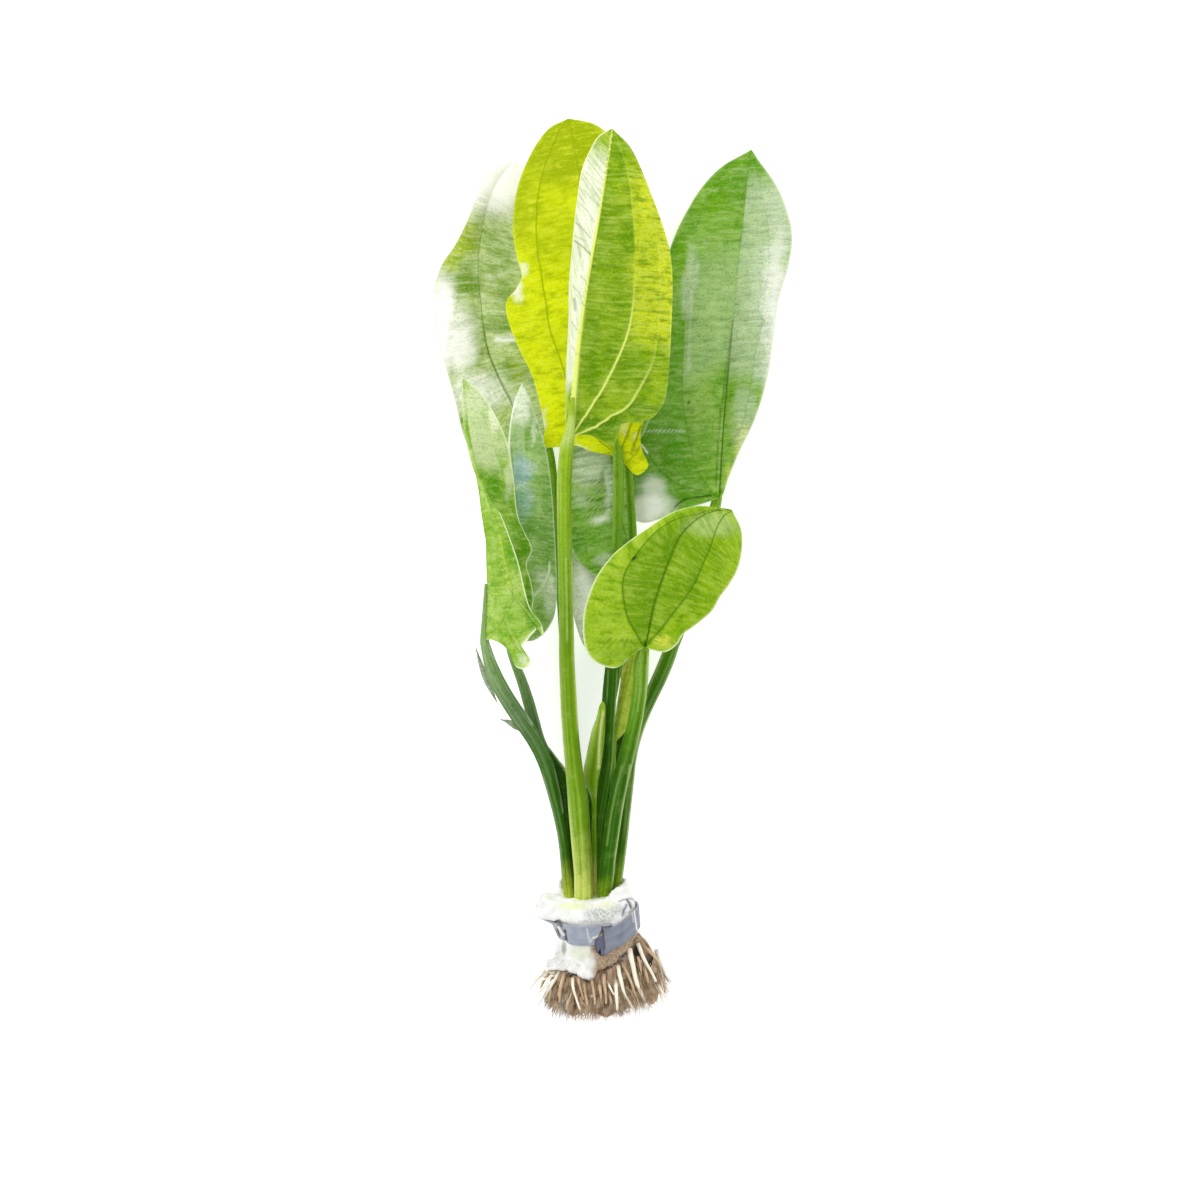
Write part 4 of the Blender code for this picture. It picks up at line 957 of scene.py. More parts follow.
def veinShare(leaf, side, line, rows):
    # the share of the half at which a line of the picture runs, row by row
    sign = 1 if side else -1
    shares = np.linspace(0.005, 1, 260)
    points, _ = bladeShape(leaf, np.broadcast_to(sign * shares, (rows + 1, 260)), rows)
    spots = seen(points)
    places = evenPath([(x, y, 0) for x, y in line], 120)[:, :2]
    total, number = np.zeros(rows + 1), np.zeros(rows + 1)
    for place in places:
        row, column = np.unravel_index(np.argmin(np.sum((spots - place) ** 2, axis=-1)), spots.shape[:2])
        total[row] += shares[column]
        number[row] += 1
    known = np.flatnonzero(number)
    drawn = np.interp(np.arange(rows + 1), known, total[known] / number[known])
    weights = np.hanning(17)
    for _ in range(2):
        drawn = np.convolve(np.pad(drawn, 8, mode="edge"), weights / weights.sum(), mode="valid")
    return drawn


def allShares(leaf, side, rows):
    # the midrib, the half's own veins and its margin as shares of the half, kept in order
    shares = [np.zeros(rows + 1)]
    for _, _, line in leaf["veins"][side]:
        shares.append(np.clip(np.maximum(veinShare(leaf, side, line, rows), shares[-1] + 0.04), 0, 0.94))
    return shares + [np.ones(rows + 1)]


def surfaceNormals(points):
    across = np.gradient(points, axis=1)
    along = np.gradient(points, axis=0)
    normal = np.cross(across, along)
    length = np.linalg.norm(normal, axis=-1, keepdims=True)
    return normal / np.maximum(length, 1e-9)


def ownPlace(leaf, points, across, width, rows):
    # signed way off the midrib and way along it, in mm, with the cross veins' slant taken in
    midrib = evenPath(leaf["midrib"], rows)
    tangent = np.gradient(evenPath(leaf["midrib"][::2] + leaf["midrib"][-1:], rows), axis=0)
    tangent /= np.maximum(np.linalg.norm(tangent, axis=1, keepdims=True), 1e-9)
    along = np.linspace(0, pathLength(midrib), rows + 1)[:, None]
    offset = points - midrib[:, None]
    forward = np.sum(offset * tangent[:, None], axis=-1)
    aside = np.sqrt(np.maximum(np.sum(offset ** 2, axis=-1) - forward ** 2, 0))
    skew = np.where(across < 0, leaf["cross"][1], leaf["cross"][2])
    return np.stack([np.sign(across) * aside, along + forward + skew * aside, 0 * aside], axis=-1)


def leafMarks(leaf, across, shares, width, flat, spots, seed):
    # how strongly each feature shows at each point, and the height of bulges and drawn lines
    rows = across.shape[0] - 1
    along = np.linspace(0, 1, rows + 1)[:, None]
    share = np.abs(across)
    veins = np.zeros_like(across)
    gap = np.zeros_like(across)
    inGap = np.zeros_like(across)
    gapWidth = np.ones_like(across)
    ribShow, ribSize, sideSize = leaf["rib"]
    taper = ribSize if isinstance(ribSize, list) else [(0, ribSize), (1, ribSize * 0.45)]
    ribWidth = np.interp(along, [spot for spot, _ in taper], [size for _, size in taper])
    for side in (0, 1):
        mine = (across < 0) if side == 0 else (across >= 0)
        strengths = [(ribShow, leaf["ribFade"])] + [vein[:2] for vein in leaf["veins"][side]]
        for number, low in enumerate(shares[side][:-1]):
            high = shares[side][number + 1]
            size = ribWidth if number == 0 else sideSize * (1 - 0.5 * along)
            strength, fade = strengths[number]
            shown = strength * (0.15 + 0.85 * (1 - ease(along, fade - 0.14, fade + 0.1)))
            near = np.exp(-np.abs((share - low[:, None]) * width / size) ** 3) * shown
            veins = np.where(mine, np.maximum(veins, near), veins)
            here = mine & (share >= low[:, None])
            gap = np.where(here, number + 10 * side, gap)
            inGap = np.where(here, (share - low[:, None]) / np.maximum(high - low, 0.01)[:, None], inGap)
            gapWidth = np.where(here, (high - low)[:, None] * width, gapWidth)
    spacing, _, _, strength = leaf["cross"]
    phase = (flat[..., 1] + 0.5 * lumps(flat, 7.0, seed)) / spacing
    fade = ease(along, 0.02, 0.1) * ease(1 - along, 0.0, 0.05) * ease(1 - share, 0.0, 0.05)
    cross = np.zeros_like(across)
    shade = np.zeros_like(across)
    for scale, amount, key in ((1.0, 1.0, 0), (2.13, 0.6, 40)):
        turnsOf = phase * scale + 0.37 * key
        cell = np.floor(turnsOf)
        ids = np.stack([cell, gap + key, 0 * gap], axis=-1).astype(np.int64)
        offset = (turnsOf - cell - 0.5 - 0.5 * (hashed(ids, seed) - 0.5)) * spacing / scale
        strong = (0.3 + 0.7 * hashed(ids, seed + 5)) * amount
        broken = ease(lumps(flat + 31 * key, 5.0, seed + 9), -0.8, 0.3)
        wide = leafStyle["crossWidth"] * (1.0 if key == 0 else 0.6)
        cross = np.maximum(cross, np.exp(-(offset / wide) ** 2) * strong * broken)
        shade = np.maximum(shade, np.exp(-((offset + 2.0 * wide) / (wide * 1.1)) ** 2) * strong * broken)
    puff = np.cos(2 * np.pi * (phase - np.floor(phase))) * fade
    edge = np.where(across < 0, leaf["rim"][0], leaf["rim"][1])
    rim = np.exp(-(((1 - share) * width) / leafStyle["rim"]) ** 2) * ease(width, 1.0, 5.0) * edge
    marks = {"vein": np.clip(veins * ease(width, 0.0, 1.5), 0, 1),
             "cross": np.clip(cross * fade * strength, 0, 1),
             "shade": np.clip(shade * fade * strength, 0, 1), "rim": np.clip(rim, 0, 1)}
    for kind in ("deep", "warm", "painted_sheen", "light", "dark_mark_and_shadow", "sky", "glare"):
        marks[kind] = np.zeros_like(across)
    for kind, side, number, amount, start, end in leaf["zones"]:
        within = (gap == number + 10 * side) & ((across >= 0) if side else (across < 0))
        marks[kind] = np.maximum(marks[kind], within * amount * ease(along, start - 0.04, start + 0.04)
                                 * (1 - ease(along, end - 0.08, end + 0.03)))
    wobbled = spots + 3.5 * np.stack([lumps(flat, 7.0, seed + 20), lumps(flat, 7.0, seed + 21)], axis=-1)
    wobbled = wobbled + 1.5 * np.stack([lumps(flat, 2.0, seed + 22), lumps(flat, 2.0, seed + 23)], axis=-1)
    for kind, x, y, wide, high, amount in leaf["patches"]:
        marks[kind] = np.maximum(marks[kind], amount * nearPatch(wobbled, x, y, wide, high))
    relief = leaf["bulge"] * gapWidth * np.sin(np.pi * np.clip(inGap, 0, 1)) * fade * leaf["upper"]
    for kind, wide, amount, height, line in leaf["lines"]:
        near = nearLine(spots, line, wide)
        marks[kind] = np.maximum(marks[kind], amount * near)
        relief = relief + height * near
    marks = {kind: np.broadcast_to(values, across.shape) for kind, values in marks.items()}
    return marks, puff, relief


def makeLeaf(name, leaf, seed):
    large = pathLength(np.array(leaf["midrib"], float)) > leafStyle["largeFrom"]
    rows = leafStyle["rows"] if large else leafStyle["smallRows"]
    shares = [allShares(leaf, side, rows) for side in (0, 1)]
    wide = leafStyle["plainColumns" if leaf["plain"] else "wideColumns"]
    halves = [ladder(half, leafStyle["columns"] if len(half) > 2 else wide) for half in shares]
    across = np.hstack([-halves[0][:, ::-1], halves[1][:, 1:]])
    points, width = bladeShape(leaf, across, rows)
    flat = ownPlace(leaf, points, across, width, rows)
    marks, puff, relief = leafMarks(leaf, across, shares, width, flat, seen(points), seed)
    along = np.linspace(0, 1, rows + 1)[:, None]
    amount, size = leaf["wave"]
    calm = ease(along, 0.0, 0.12)
    sway = amount * lumps(points + 40 * seed, size, seed) * calm + 0.07 * puff * leaf["cross"][3] + relief
    points = points + surfaceNormals(points) * sway[..., None]
    normal = surfaceNormals(points)
    ridge = marks["vein"] * (leaf["ridge"] * (1 - 0.6 * along)) + 0.08 * marks["cross"]
    groove = -0.22 * marks["vein"] * (1 - 0.5 * along) - 0.06 * marks["cross"]
    wall = leafStyle["thickness"] / 2 * (1 - 0.45 * marks["rim"])
    near, away = (groove, ridge) if leaf["upper"] > 0 else (ridge, groove)
    top = points + normal * (wall + near)[..., None]
    bottom = points - normal * (wall + away)[..., None]
    rings = np.concatenate([top, points[:, -1:], bottom[:, ::-1], points[:, :1]], axis=1)
    rings[..., 2] = np.maximum(rings[..., 2], leafStyle["lowest"])
    count = rings.shape[1]
    inner = rings[1:-1]
    poles = [points[0, 0], points[-1, 0]]
    vertices = np.vstack([inner.reshape(-1, 3), poles])

    def spread(values):
        line = np.concatenate([values, values[:, -1:], values[:, ::-1], values[:, :1]], axis=1)
        return np.concatenate([line[1:-1].ravel(), [values[0].max(), values[-1].max()]])

    painted = {kind: spread(values) for kind, values in marks.items()}
    surface = np.stack([spread(flat[..., 0] * 0.001 + 0.5), spread(flat[..., 1] * 0.001)], axis=1)
    last = (rows - 1) * count
    faces = ringFaces(rows - 1, count)
    faces += fanFaces(last, 0, count, True) + fanFaces(last + 1, last - count, count, False)
    finish = leafFinishes[leaf["finish"]]
    piece = makePiece(name + "_blade", vertices, faces, leafMaterial(name + "Skin", finish), painted,
                      surface)
    dress(piece, leaf["slot"], leaf.get("node", name))
    print("blade", name, len(faces))


# Stems. Each path entry is a place and a radius, and "beyond" is where a stem runs out under its midrib.
# Bands are (kind, side from -1 to 1, half width, strength, from, to) and lines are (kind, width,
# strength, line), both in the same pixels as the blades' own. Pale and dark marks are partly the stems' own
# ribs and streaks and partly painted light: painted highlight on the lit left side, painted shade on the
# right.
stemStyle = {
    "sections": 150,
    "sides": 44,
    "ribs": 9,
    "ribDepth": 0.035,
    "unevenness": 0.2,
    "bottom": -13.5,
    "highShare": 0.7,       # where the high colour is reached
    "drift": 0.02,
}

stemFinishes = {
    # foot, low, high and top, pale and dark colours (ribs, streaks, painted highlight and painted shade),
    # roughness, then how far up the foot's colour reaches and where the stem starts to lighten, as shares of
    # its length
    "light": ((215, 225, 110), (115, 158, 18), (130, 175, 30), (155, 190, 40), (210, 225, 140), (80, 115, 5),
              0.4, 0.18, 0.4),
    "deep": ((130, 165, 30), (50, 100, 5), (90, 145, 15), (130, 175, 40), (165, 190, 115), (35, 75, 5),
             0.4, 0.1, 0.5),
    "greyed": ((195, 210, 65), (58, 108, 6), (95, 125, 75), (140, 175, 105), (170, 190, 155), (38, 80, 10),
               0.45, 0.16, 0.42),
}

stems = {
    "front_stem": {
        "path": [
            (-4.3, 1.3, 30.0, 4.2), (-4.5, 14.0, 32.8, 4.15), (-5.5, 29.4, 36.0, 4.43),
            (-6.8, 47.9, 40.2, 4.55), (-7.9, 57.1, 42.4, 4.0), (-9.7, 75.4, 46.6, 3.62),
            (-10.8, 93.5, 51.0, 3.6), (-11.5, 111.4, 55.1, 3.4), (-11.7, 129.1, 59.0, 3.21),
            (-12.1, 151.0, 64.0, 3.15), (-12.4, 177.0, 69.9, 3.17), (-12.2, 192.0, 72.9, 3.2),
            (-11.2, 203.5, 75.2, 2.9), (-10.0, 209.5, 76.3, 2.3),
        ],
        "beyond": [(-9.2, 216, 77.4, 1.5), (-8.4, 225, 78.6, 0.7)],
        "slot": "stem_light",
        "finish": "light",
        "bands": [
            ("pale", 0.0, 2.0, 0.7, 446, 415), ("pale", -0.95, 0.25, 0.6, 905, 432),
            ("dark", 0.8, 0.35, 0.8, 885, 735), ("dark", 0.3, 0.22, 0.35, 735, 590),
            ("pale", 0.98, 0.12, 0.8, 730, 560), ("dark", 0.85, 0.3, 0.7, 560, 436),
            ("pale", 0.1, 0.06, 0.35, 900, 770), ("pale", -0.45, 0.07, 0.35, 830, 470),
        ],
        "lines": [
            ("pale", 0.8, 0.6, [(566, 560), (567, 600), (567, 640)]), ("pale", 1.0, 0.8, [(566, 786),
            (567, 800), (570, 818), (572, 840), (574, 862), (576, 890)]),
        ],
    },
    "yellow_stem": {
        "path": [
            (1.8, 0, 21.5, 2.76), (1.6, 9.3, 22.3, 2.76), (1.4, 18.6, 23.0, 2.66), (1.5, 27.9, 23.8, 2.75),
            (2.3, 37.1, 24.6, 2.75), (3.7, 46.4, 25.4, 2.88), (5.3, 55.6, 26.4, 2.65),
            (6.6, 64.8, 27.3, 2.47), (7.7, 83.2, 28.9, 2.28), (8.7, 101.5, 30.4, 2.37),
            (9.1, 112.9, 31.2, 2.36), (10.0, 137.9, 32.5, 2.27), (10.9, 160.6, 34.0, 2.27),
            (11.5, 183.1, 35.5, 2.35), (11.4, 196.7, 36.4, 2.5), (11.4, 204.0, 36.9, 2.3),
        ],
        "beyond": [(10.8, 208.5, 36.6, 1.1), (10.0, 214, 36.4, 0.4)],
        "slot": "stem_light",
        "finish": "deep",
        "bands": [
            ("pale", 0.9, 0.14, 0.7, 775, 672), ("pale", -0.8, 0.12, 0.5, 700, 672),
            ("dark", -0.6, 0.3, 0.6, 775, 700), ("pale", -0.75, 0.2, 0.6, 548, 450),
            ("pale", 0.5, 0.1, 0.4, 548, 455), ("dark", 0.5, 0.4, 0.6, 895, 868),
        ],
    },
    "back_left_stem": {
        "path": [
            (-4.5, -1, 14, 2.7), (-10, 72.5, 10, 2.7), (-14.5, 138, 9, 2.5), (-17.5, 175, 9, 2.4),
            (-21, 209.3, 9.1, 1.9),
        ],
        "beyond": [(-31, 219.5, 7.4, 1.3), (-38.5, 232, 4.6, 0.5)],
        "slot": "stem_green",
        "finish": "deep",
        "bands": [("pale", -0.7, 0.2, 0.5, 560, 450)],
    },
    "back_right_stem": {
        "path": [
            (10.6, 4.0, 23.8, 2.48), (11.9, 18.6, 23.0, 2.75), (13.0, 27.7, 22.5, 2.76),
            (14.9, 46.0, 21.4, 2.85), (15.9, 55.1, 20.8, 2.85), (16.8, 64.2, 20.2, 2.99),
            (18.7, 73.4, 19.6, 3.04), (21.7, 82.6, 19.0, 3.2), (25.8, 91.8, 18.2, 3.23),
            (30.2, 101.0, 17.3, 3.37), (34.1, 110.2, 16.5, 3.38), (37.5, 119.4, 15.7, 3.24),
            (44.9, 137.9, 14.2, 3.01), (52.0, 163.5, 12.3, 2.79), (57.7, 185.8, 10.9, 2.33),
        ],
        "beyond": [(59.6, 204, 8.4, 1.1), (61, 220, 5.2, 0.5)],
        "slot": "stem_green",
        "finish": "deep",
        "bands": [
            ("pale", -0.9, 0.28, 0.85, 712, 636), ("pale", 0.92, 0.2, 0.85, 885, 640),
            ("pale", 0.4, 0.16, 0.42, 835, 645), ("pale", -0.75, 0.16, 0.5, 895, 770),
            ("pale", 0.05, 0.1, 0.3, 800, 705), ("pale", 0.85, 0.2, 0.7, 545, 490),
        ],
        "lines": [("pale", 1.1, 0.9, [(663, 652), (657, 668), (648, 690), (642, 712)])],
    },
    "folded_stem": {
        "path": [
            (-10.7, 0.6, 25.5, 2.52), (-11.7, 10.0, 26.7, 2.51), (-12.5, 19.3, 28.0, 2.42),
            (-13.4, 28.6, 29.8, 2.41), (-15.0, 37.9, 31.6, 2.5), (-17.0, 47.2, 33.6, 2.72),
            (-19.2, 56.5, 35.9, 3.1), (-21.9, 65.8, 38.3, 3.35), (-26.2, 75.0, 41.0, 3.55),
            (-32.1, 84.2, 44.7, 3.55), (-37.9, 93.4, 48.6, 3.45), (-42.7, 102.5, 53.0, 3.4),
            (-45.4, 110.5, 56.6, 2.8), (-47.0, 117.0, 58.9, 2.2), (-47.6, 120.5, 59.8, 1.9),
        ],
        "beyond": [(-47.4, 130, 60.8, 1.3), (-46.8, 145, 62.4, 0.6)],
        "slot": "stem_green",
        "finish": "greyed",
        "bands": [
            ("pale", -0.9, 0.28, 0.5, 880, 775), ("dark", 0.6, 0.35, 0.5, 875, 770),
            ("pale", -0.1, 0.1, 0.35, 840, 690), ("pale", -0.6, 0.15, 0.4, 730, 665),
        ],
        "lines": [
            ("pale", 1.1, 1.0, [(489, 645), (492, 655), (503, 671), (510, 681), (521, 702), (532, 724)]),
            ("pale", 0.9, 0.8, [(553, 758), (556, 775), (560, 792), (563, 812)]), ("pale", 0.8, 0.6,
            [(484, 640), (484, 655), (490, 672), (503, 695)]),
        ],
    },
    "inner_stem": {
        "path": [
            (-9.7, -0.6, 17.5, 2.1), (-10.4, 8.7, 18.3, 2.1), (-11.3, 18.1, 19.2, 2.1),
            (-12.2, 27.4, 20.0, 2.1), (-13.7, 36.7, 21.1, 2.2), (-15.8, 46.0, 22.2, 2.35),
            (-17.9, 55.3, 23.4, 2.66), (-20.8, 64.7, 25.1, 2.66), (-24.7, 73.9, 26.8, 2.7),
            (-27.2, 83.2, 28.8, 2.64), (-29.6, 92.4, 31.0, 2.59), (-32.4, 101.6, 33.1, 2.27),
            (-35.8, 110.7, 34.0, 2.04), (-37.8, 117.5, 34.3, 1.9), (-39.1, 121.6, 34.5, 1.81),
        ],
        "beyond": [(-36.6, 132, 37.4, 1.3), (-35, 142, 38.7, 0.5)],
        "slot": "stem_green",
        "finish": "greyed",
        "bands": [
            ("pale", 0.92, 0.22, 0.75, 775, 650), ("pale", 0.95, 0.2, 0.6, 895, 825),
            ("pale", -0.95, 0.15, 0.3, 730, 650),
        ],
    },
    "small_stem": {
        "path": [
            (5.3, 2.7, 29.8, 3.19), (5.9, 10.7, 31.9, 3.41), (6.8, 20.1, 34.4, 3.4),
            (7.9, 29.5, 36.8, 3.52), (9.1, 38.8, 39.4, 3.6), (10.6, 48.1, 42.2, 3.59),
            (12.4, 57.4, 44.9, 3.58), (14.6, 66.6, 47.8, 3.52), (16.8, 75.7, 51.2, 3.38),
            (18.8, 84.8, 54.6, 3.25), (20.1, 93.8, 57.8, 3.25), (20.9, 102.8, 60.9, 3.34),
            (21.2, 109.4, 62.8, 3.3), (22.0, 114.7, 64.2, 2.7), (23.0, 118.3, 65.2, 2.0),
        ],
        "beyond": [(24.6, 126, 68.6, 1.2), (26.0, 133, 71.2, 0.5)],
        "slot": "stem_green",
        "finish": "deep",
        "bands": [
            ("pale", 0.95, 0.16, 0.9, 898, 655), ("dark", -0.9, 0.25, 0.6, 780, 735),
            ("dark", 0.4, 0.2, 0.45, 760, 655), ("pale", -0.1, 0.1, 0.35, 790, 715),
            ("pale", -0.5, 0.1, 0.35, 720, 655),
        ],
        "lines": [
            ("pale", 0.9, 0.85, [(648.5, 655), (647, 672), (646, 690)]), ("pale", 0.9, 0.8, [(630, 765),
            (628, 780), (624.5, 800), (621, 820), (618, 840), (615.5, 860), (613.5, 892)]),
            ("pale", 0.8, 0.6, [(641, 650), (640, 670), (640, 690), (637, 712)]), ("pale", 1.0, 0.45,
            [(622, 766), (616, 790), (611, 815), (607, 845)]), ("dark", 1.2, 0.7, [(645, 652), (645, 664)]),
        ],
    },
    "middle_stem": {
        "path": [
            (0.5, -1.5, 13, 2.9), (-0.6, 22, 15.5, 3.1), (-1.0, 42, 16.5, 3.0), (1.5, 62, 15, 2.9),
            (8, 91.5, 12.5, 2.6), (14.5, 128.5, 13, 2.4), (18.4, 156.5, 13.5, 1.9),
        ],
        "beyond": [(15.6, 166, 15.8, 1.2), (13.4, 175, 16.4, 0.5)],
        "slot": "stem_green",
        "finish": "deep",
        "bands": [("pale", 0.8, 0.2, 0.3, 880, 640)],
    },
    "hidden_stem": {
        "path": [
            (6, -0.5, 17.7, 2.6), (6, 50, 18, 2.6), (6.5, 92, 18, 2.4), (11, 126.5, 20, 2.2),
            (18, 156.5, 23, 2.0), (18, 170, 24, 1.9), (16.5, 193, 26, 1.7), (15.4, 206.5, 26.6, 1.6),
        ],
        "beyond": [(14.4, 218, 28.6, 1.0), (13.6, 228, 29.4, 0.5)],
        "slot": "stem_green",
        "finish": "deep",
        "bands": [("pale", 0.85, 0.2, 0.4, 880, 700), ("dark", -0.3, 0.4, 0.6, 560, 460)],
    },
    "low_stem": {
        "path": [
            (7.4, -0.5, 15.5, 2.31), (6.7, 17.4, 14.5, 2.55), (6.9, 35.9, 13.5, 2.78),
            (8.3, 49.7, 12.7, 2.79), (10.4, 63.6, 11.9, 2.79), (12.8, 72.8, 11.4, 2.79),
            (14.4, 82.1, 10.7, 2.61), (16.0, 91.3, 9.2, 2.33), (14.4, 104.3, 7.1, 2.15),
            (8.8, 119.2, 6.6, 1.87),
        ],
        "beyond": [(5.8, 128, 8, 1.2), (5, 136, 8.5, 0.5)],
        "slot": "stem_green",
        "finish": "deep",
        "bands": [("pale", 0.7, 0.2, 0.45, 770, 690), ("dark", 0.0, 0.3, 0.5, 770, 730)],
        "lines": [
            ("pale", 0.9, 0.7, [(618, 745), (613, 765), (611, 775)]), ("pale", 0.9, 0.5, [(611, 795),
            (608, 825), (606, 850)]),
        ],
    },
    "young_stem": {
        "path": [(6, 0.5, 23.4, 1.4), (7.6, 28, 22.2, 1.4), (9, 50.5, 21.3, 1.4), (9.5, 70.8, 22, 1.2)],
        "beyond": [(11, 79, 22.6, 0.9), (13, 88, 23.4, 0.4)],
        "slot": "stem_light",
        "finish": "deep",
    },
    "new_shoot": {
        "path": [unseen(place) + (radius,) for place, radius in [
            ((594.5, 880, 26.5), 1.3), ((594, 840, 28), 1.1), ((594.2, 808, 30), 1.0),
            ((593.8, 797, 31.5), 1.3), ((592.5, 789, 33), 2.2), ((591, 780, 34), 3.2),
            ((591.7, 770, 34.6), 3.75), ((593.5, 760, 35), 3.6), ((595.2, 750, 35.2), 3.5),
            ((596.8, 740, 35.2), 3.3), ((598.4, 730, 35), 2.9), ((600.4, 720, 34.8), 2.1),
            ((601.8, 710, 34.6), 1.6),
        ]],
        "beyond": [unseen((602.4, 705, 34.4)) + (1.2,), unseen((603, 701.5, 34.2)) + (0.35,)],
        "slot": "stem_light",
        "finish": "light",
        "bands": [
            ("pale", -0.85, 0.35, 0.75, 800, 712), ("dark", 0.15, 0.3, 0.95, 790, 715),
            ("dark", 0.8, 0.25, 0.7, 770, 712),
        ],
        "lines": [("pale", 1.4, 1.0, [(603, 712), (600.5, 728), (599.3, 745), (599, 758), (598.5, 768)])],
    },
}


def stemMaterial(name, finish):
    make = Recipe(name)
    side = make.mark("side")
    rise = make.mark("rise")
    stage = make.mark("stage")
    lengthwise = make.node("CombineXYZ", {0: make.times(side, 5.0), 1: make.times(rise, 5.0),
                                          2: make.times(stage, 0.8)})
    threads = make.noise(lengthwise, 1.0, 4.0, 0.65)
    place = make.place()
    patchy = make.noise(place, 170.0, 3.0, 0.6)
    grain = make.noise(place, 1100.0, 2.0, 0.6)
    angle = make.node("Math", {0: rise, 1: side}, operation="ARCTAN2")
    crest = make.node("Math", {0: make.times(angle, float(stemStyle["ribs"]))}, operation="COSINE")
    base, low, high, top, pale, dark = [paint(*colour) for colour in finish[:6]]
    for number, colour in enumerate((low, high, top)):
        base = make.mix(make.remap(stage, number, number + 1), base, colour)
    base = make.mix(make.remap(patchy, 0.55, 0.7, 0.0, 0.16), base, pale)
    base = make.mix(make.remap(patchy, 0.45, 0.3, 0.0, 0.3), base, dark)
    base = make.mix(make.remap(crest, -0.55, -1.0, 0.0, 0.22), base, dark)
    crestLight = make.times(make.remap(crest, 0.78, 1.0, 0.0, 0.2), make.remap(threads, 0.46, 0.62))
    base = make.mix(crestLight, base, pale)
    base = make.mix(make.remap(threads, 0.56, 0.72, 0.0, 0.22), base, pale)
    base = make.mix(make.remap(threads, 0.46, 0.3, 0.0, 0.5), base, dark)
    # pale and dark marks: ribs and streaks, and painted highlight on the left and painted shade on the right
    # side
    base = make.mix(make.mark("dark"), base, dark)
    base = make.mix(make.mark("pale"), base, pale)
    base = make.mix(make.remap(grain, 0.46, 0.34, 0.0, 0.3), base, dark)
    height = make.plus(threads, make.times(grain, 0.4))
    rough = make.remap(threads, 0.3, 0.7, finish[6] - 0.05, finish[6] + 0.1)
    return make.finish(base, rough, make.bump(height, 0.00018, 0.6), Specular_IOR_Level=0.04)


def addSocket(tree, name, kind, isOutput=False, value=None):
    made = tree.interface.new_socket(name, in_out="OUTPUT" if isOutput else "INPUT",
                                     socket_type="NodeSocket" + kind)
    if value is not None:
        made.default_value = value
    return made


class Growth:
    # a geometry node tree: each call adds one node, feeds its inputs and gives an output back

    def __init__(self, name, inputs):
        self.tree = bpy.data.node_groups.new(name, "GeometryNodeTree")
        addSocket(self.tree, "Geometry", "Geometry")
        for label, kind, value in inputs:
            addSocket(self.tree, label, kind, value=value)
        addSocket(self.tree, "Geometry", "Geometry", isOutput=True)
        self.given = self.tree.nodes.new("NodeGroupInput")
        self.result = self.tree.nodes.new("NodeGroupOutput")

    def take(self, label):
        return self.given.outputs[label]

    def node(self, kind, inputs, output=0, prefix="GeometryNode", **settings):
        made = self.tree.nodes.new(prefix + kind)
        for key, value in settings.items():
            setattr(made, key, value)
        for key, value in inputs.items():
            if isinstance(value, bpy.types.NodeSocket):
                self.tree.links.new(value, made.inputs[key])
            else:
                made.inputs[key].default_value = value
        return made.outputs[output]

    def math(self, first, second, operation):
        return self.node("Math", {0: first, 1: second}, prefix="ShaderNode", operation=operation)

    def vector(self, first, second, operation):
        return self.node("VectorMath", {0: first, 1: second}, prefix="ShaderNode", operation=operation)

    def dot(self, first, second):
        return self.node("VectorMath", {0: first, 1: second}, 1, "ShaderNode", operation="DOT_PRODUCT")

    def scale(self, vector, factor):
        made = self.tree.nodes.new("ShaderNodeVectorMath")
        made.operation = "SCALE"
        self.tree.links.new(vector, made.inputs[0])
        self.tree.links.new(factor, made.inputs["Scale"])
        return made.outputs[0]

    def store(self, geometry, name, value, kind="FLOAT"):
        return self.node("StoreNamedAttribute", {"Geometry": geometry, "Name": name, "Value": value},
                         data_type=kind, domain="POINT")

    def wander(self, scale, amount, seed):
        # an offset that changes smoothly with the place
        noise = self.node("TexNoise", {"Vector": self.node("InputPosition", {}), "Scale": scale, "W": seed,
                                       "Detail": 2.0}, output=1, prefix="ShaderNode", noise_dimensions="4D")
        return self.scale(self.vector(noise, (0.5, 0.5, 0.5), "SUBTRACT"), amount)

    def finish(self, geometry):
        geometry = self.node("RealizeInstances", {"Geometry": geometry})
        geometry = self.node("SetMaterial", {"Geometry": geometry, "Material": self.take("Finish")})
        self.tree.links.new(geometry, self.result.inputs[0])
        return self.tree


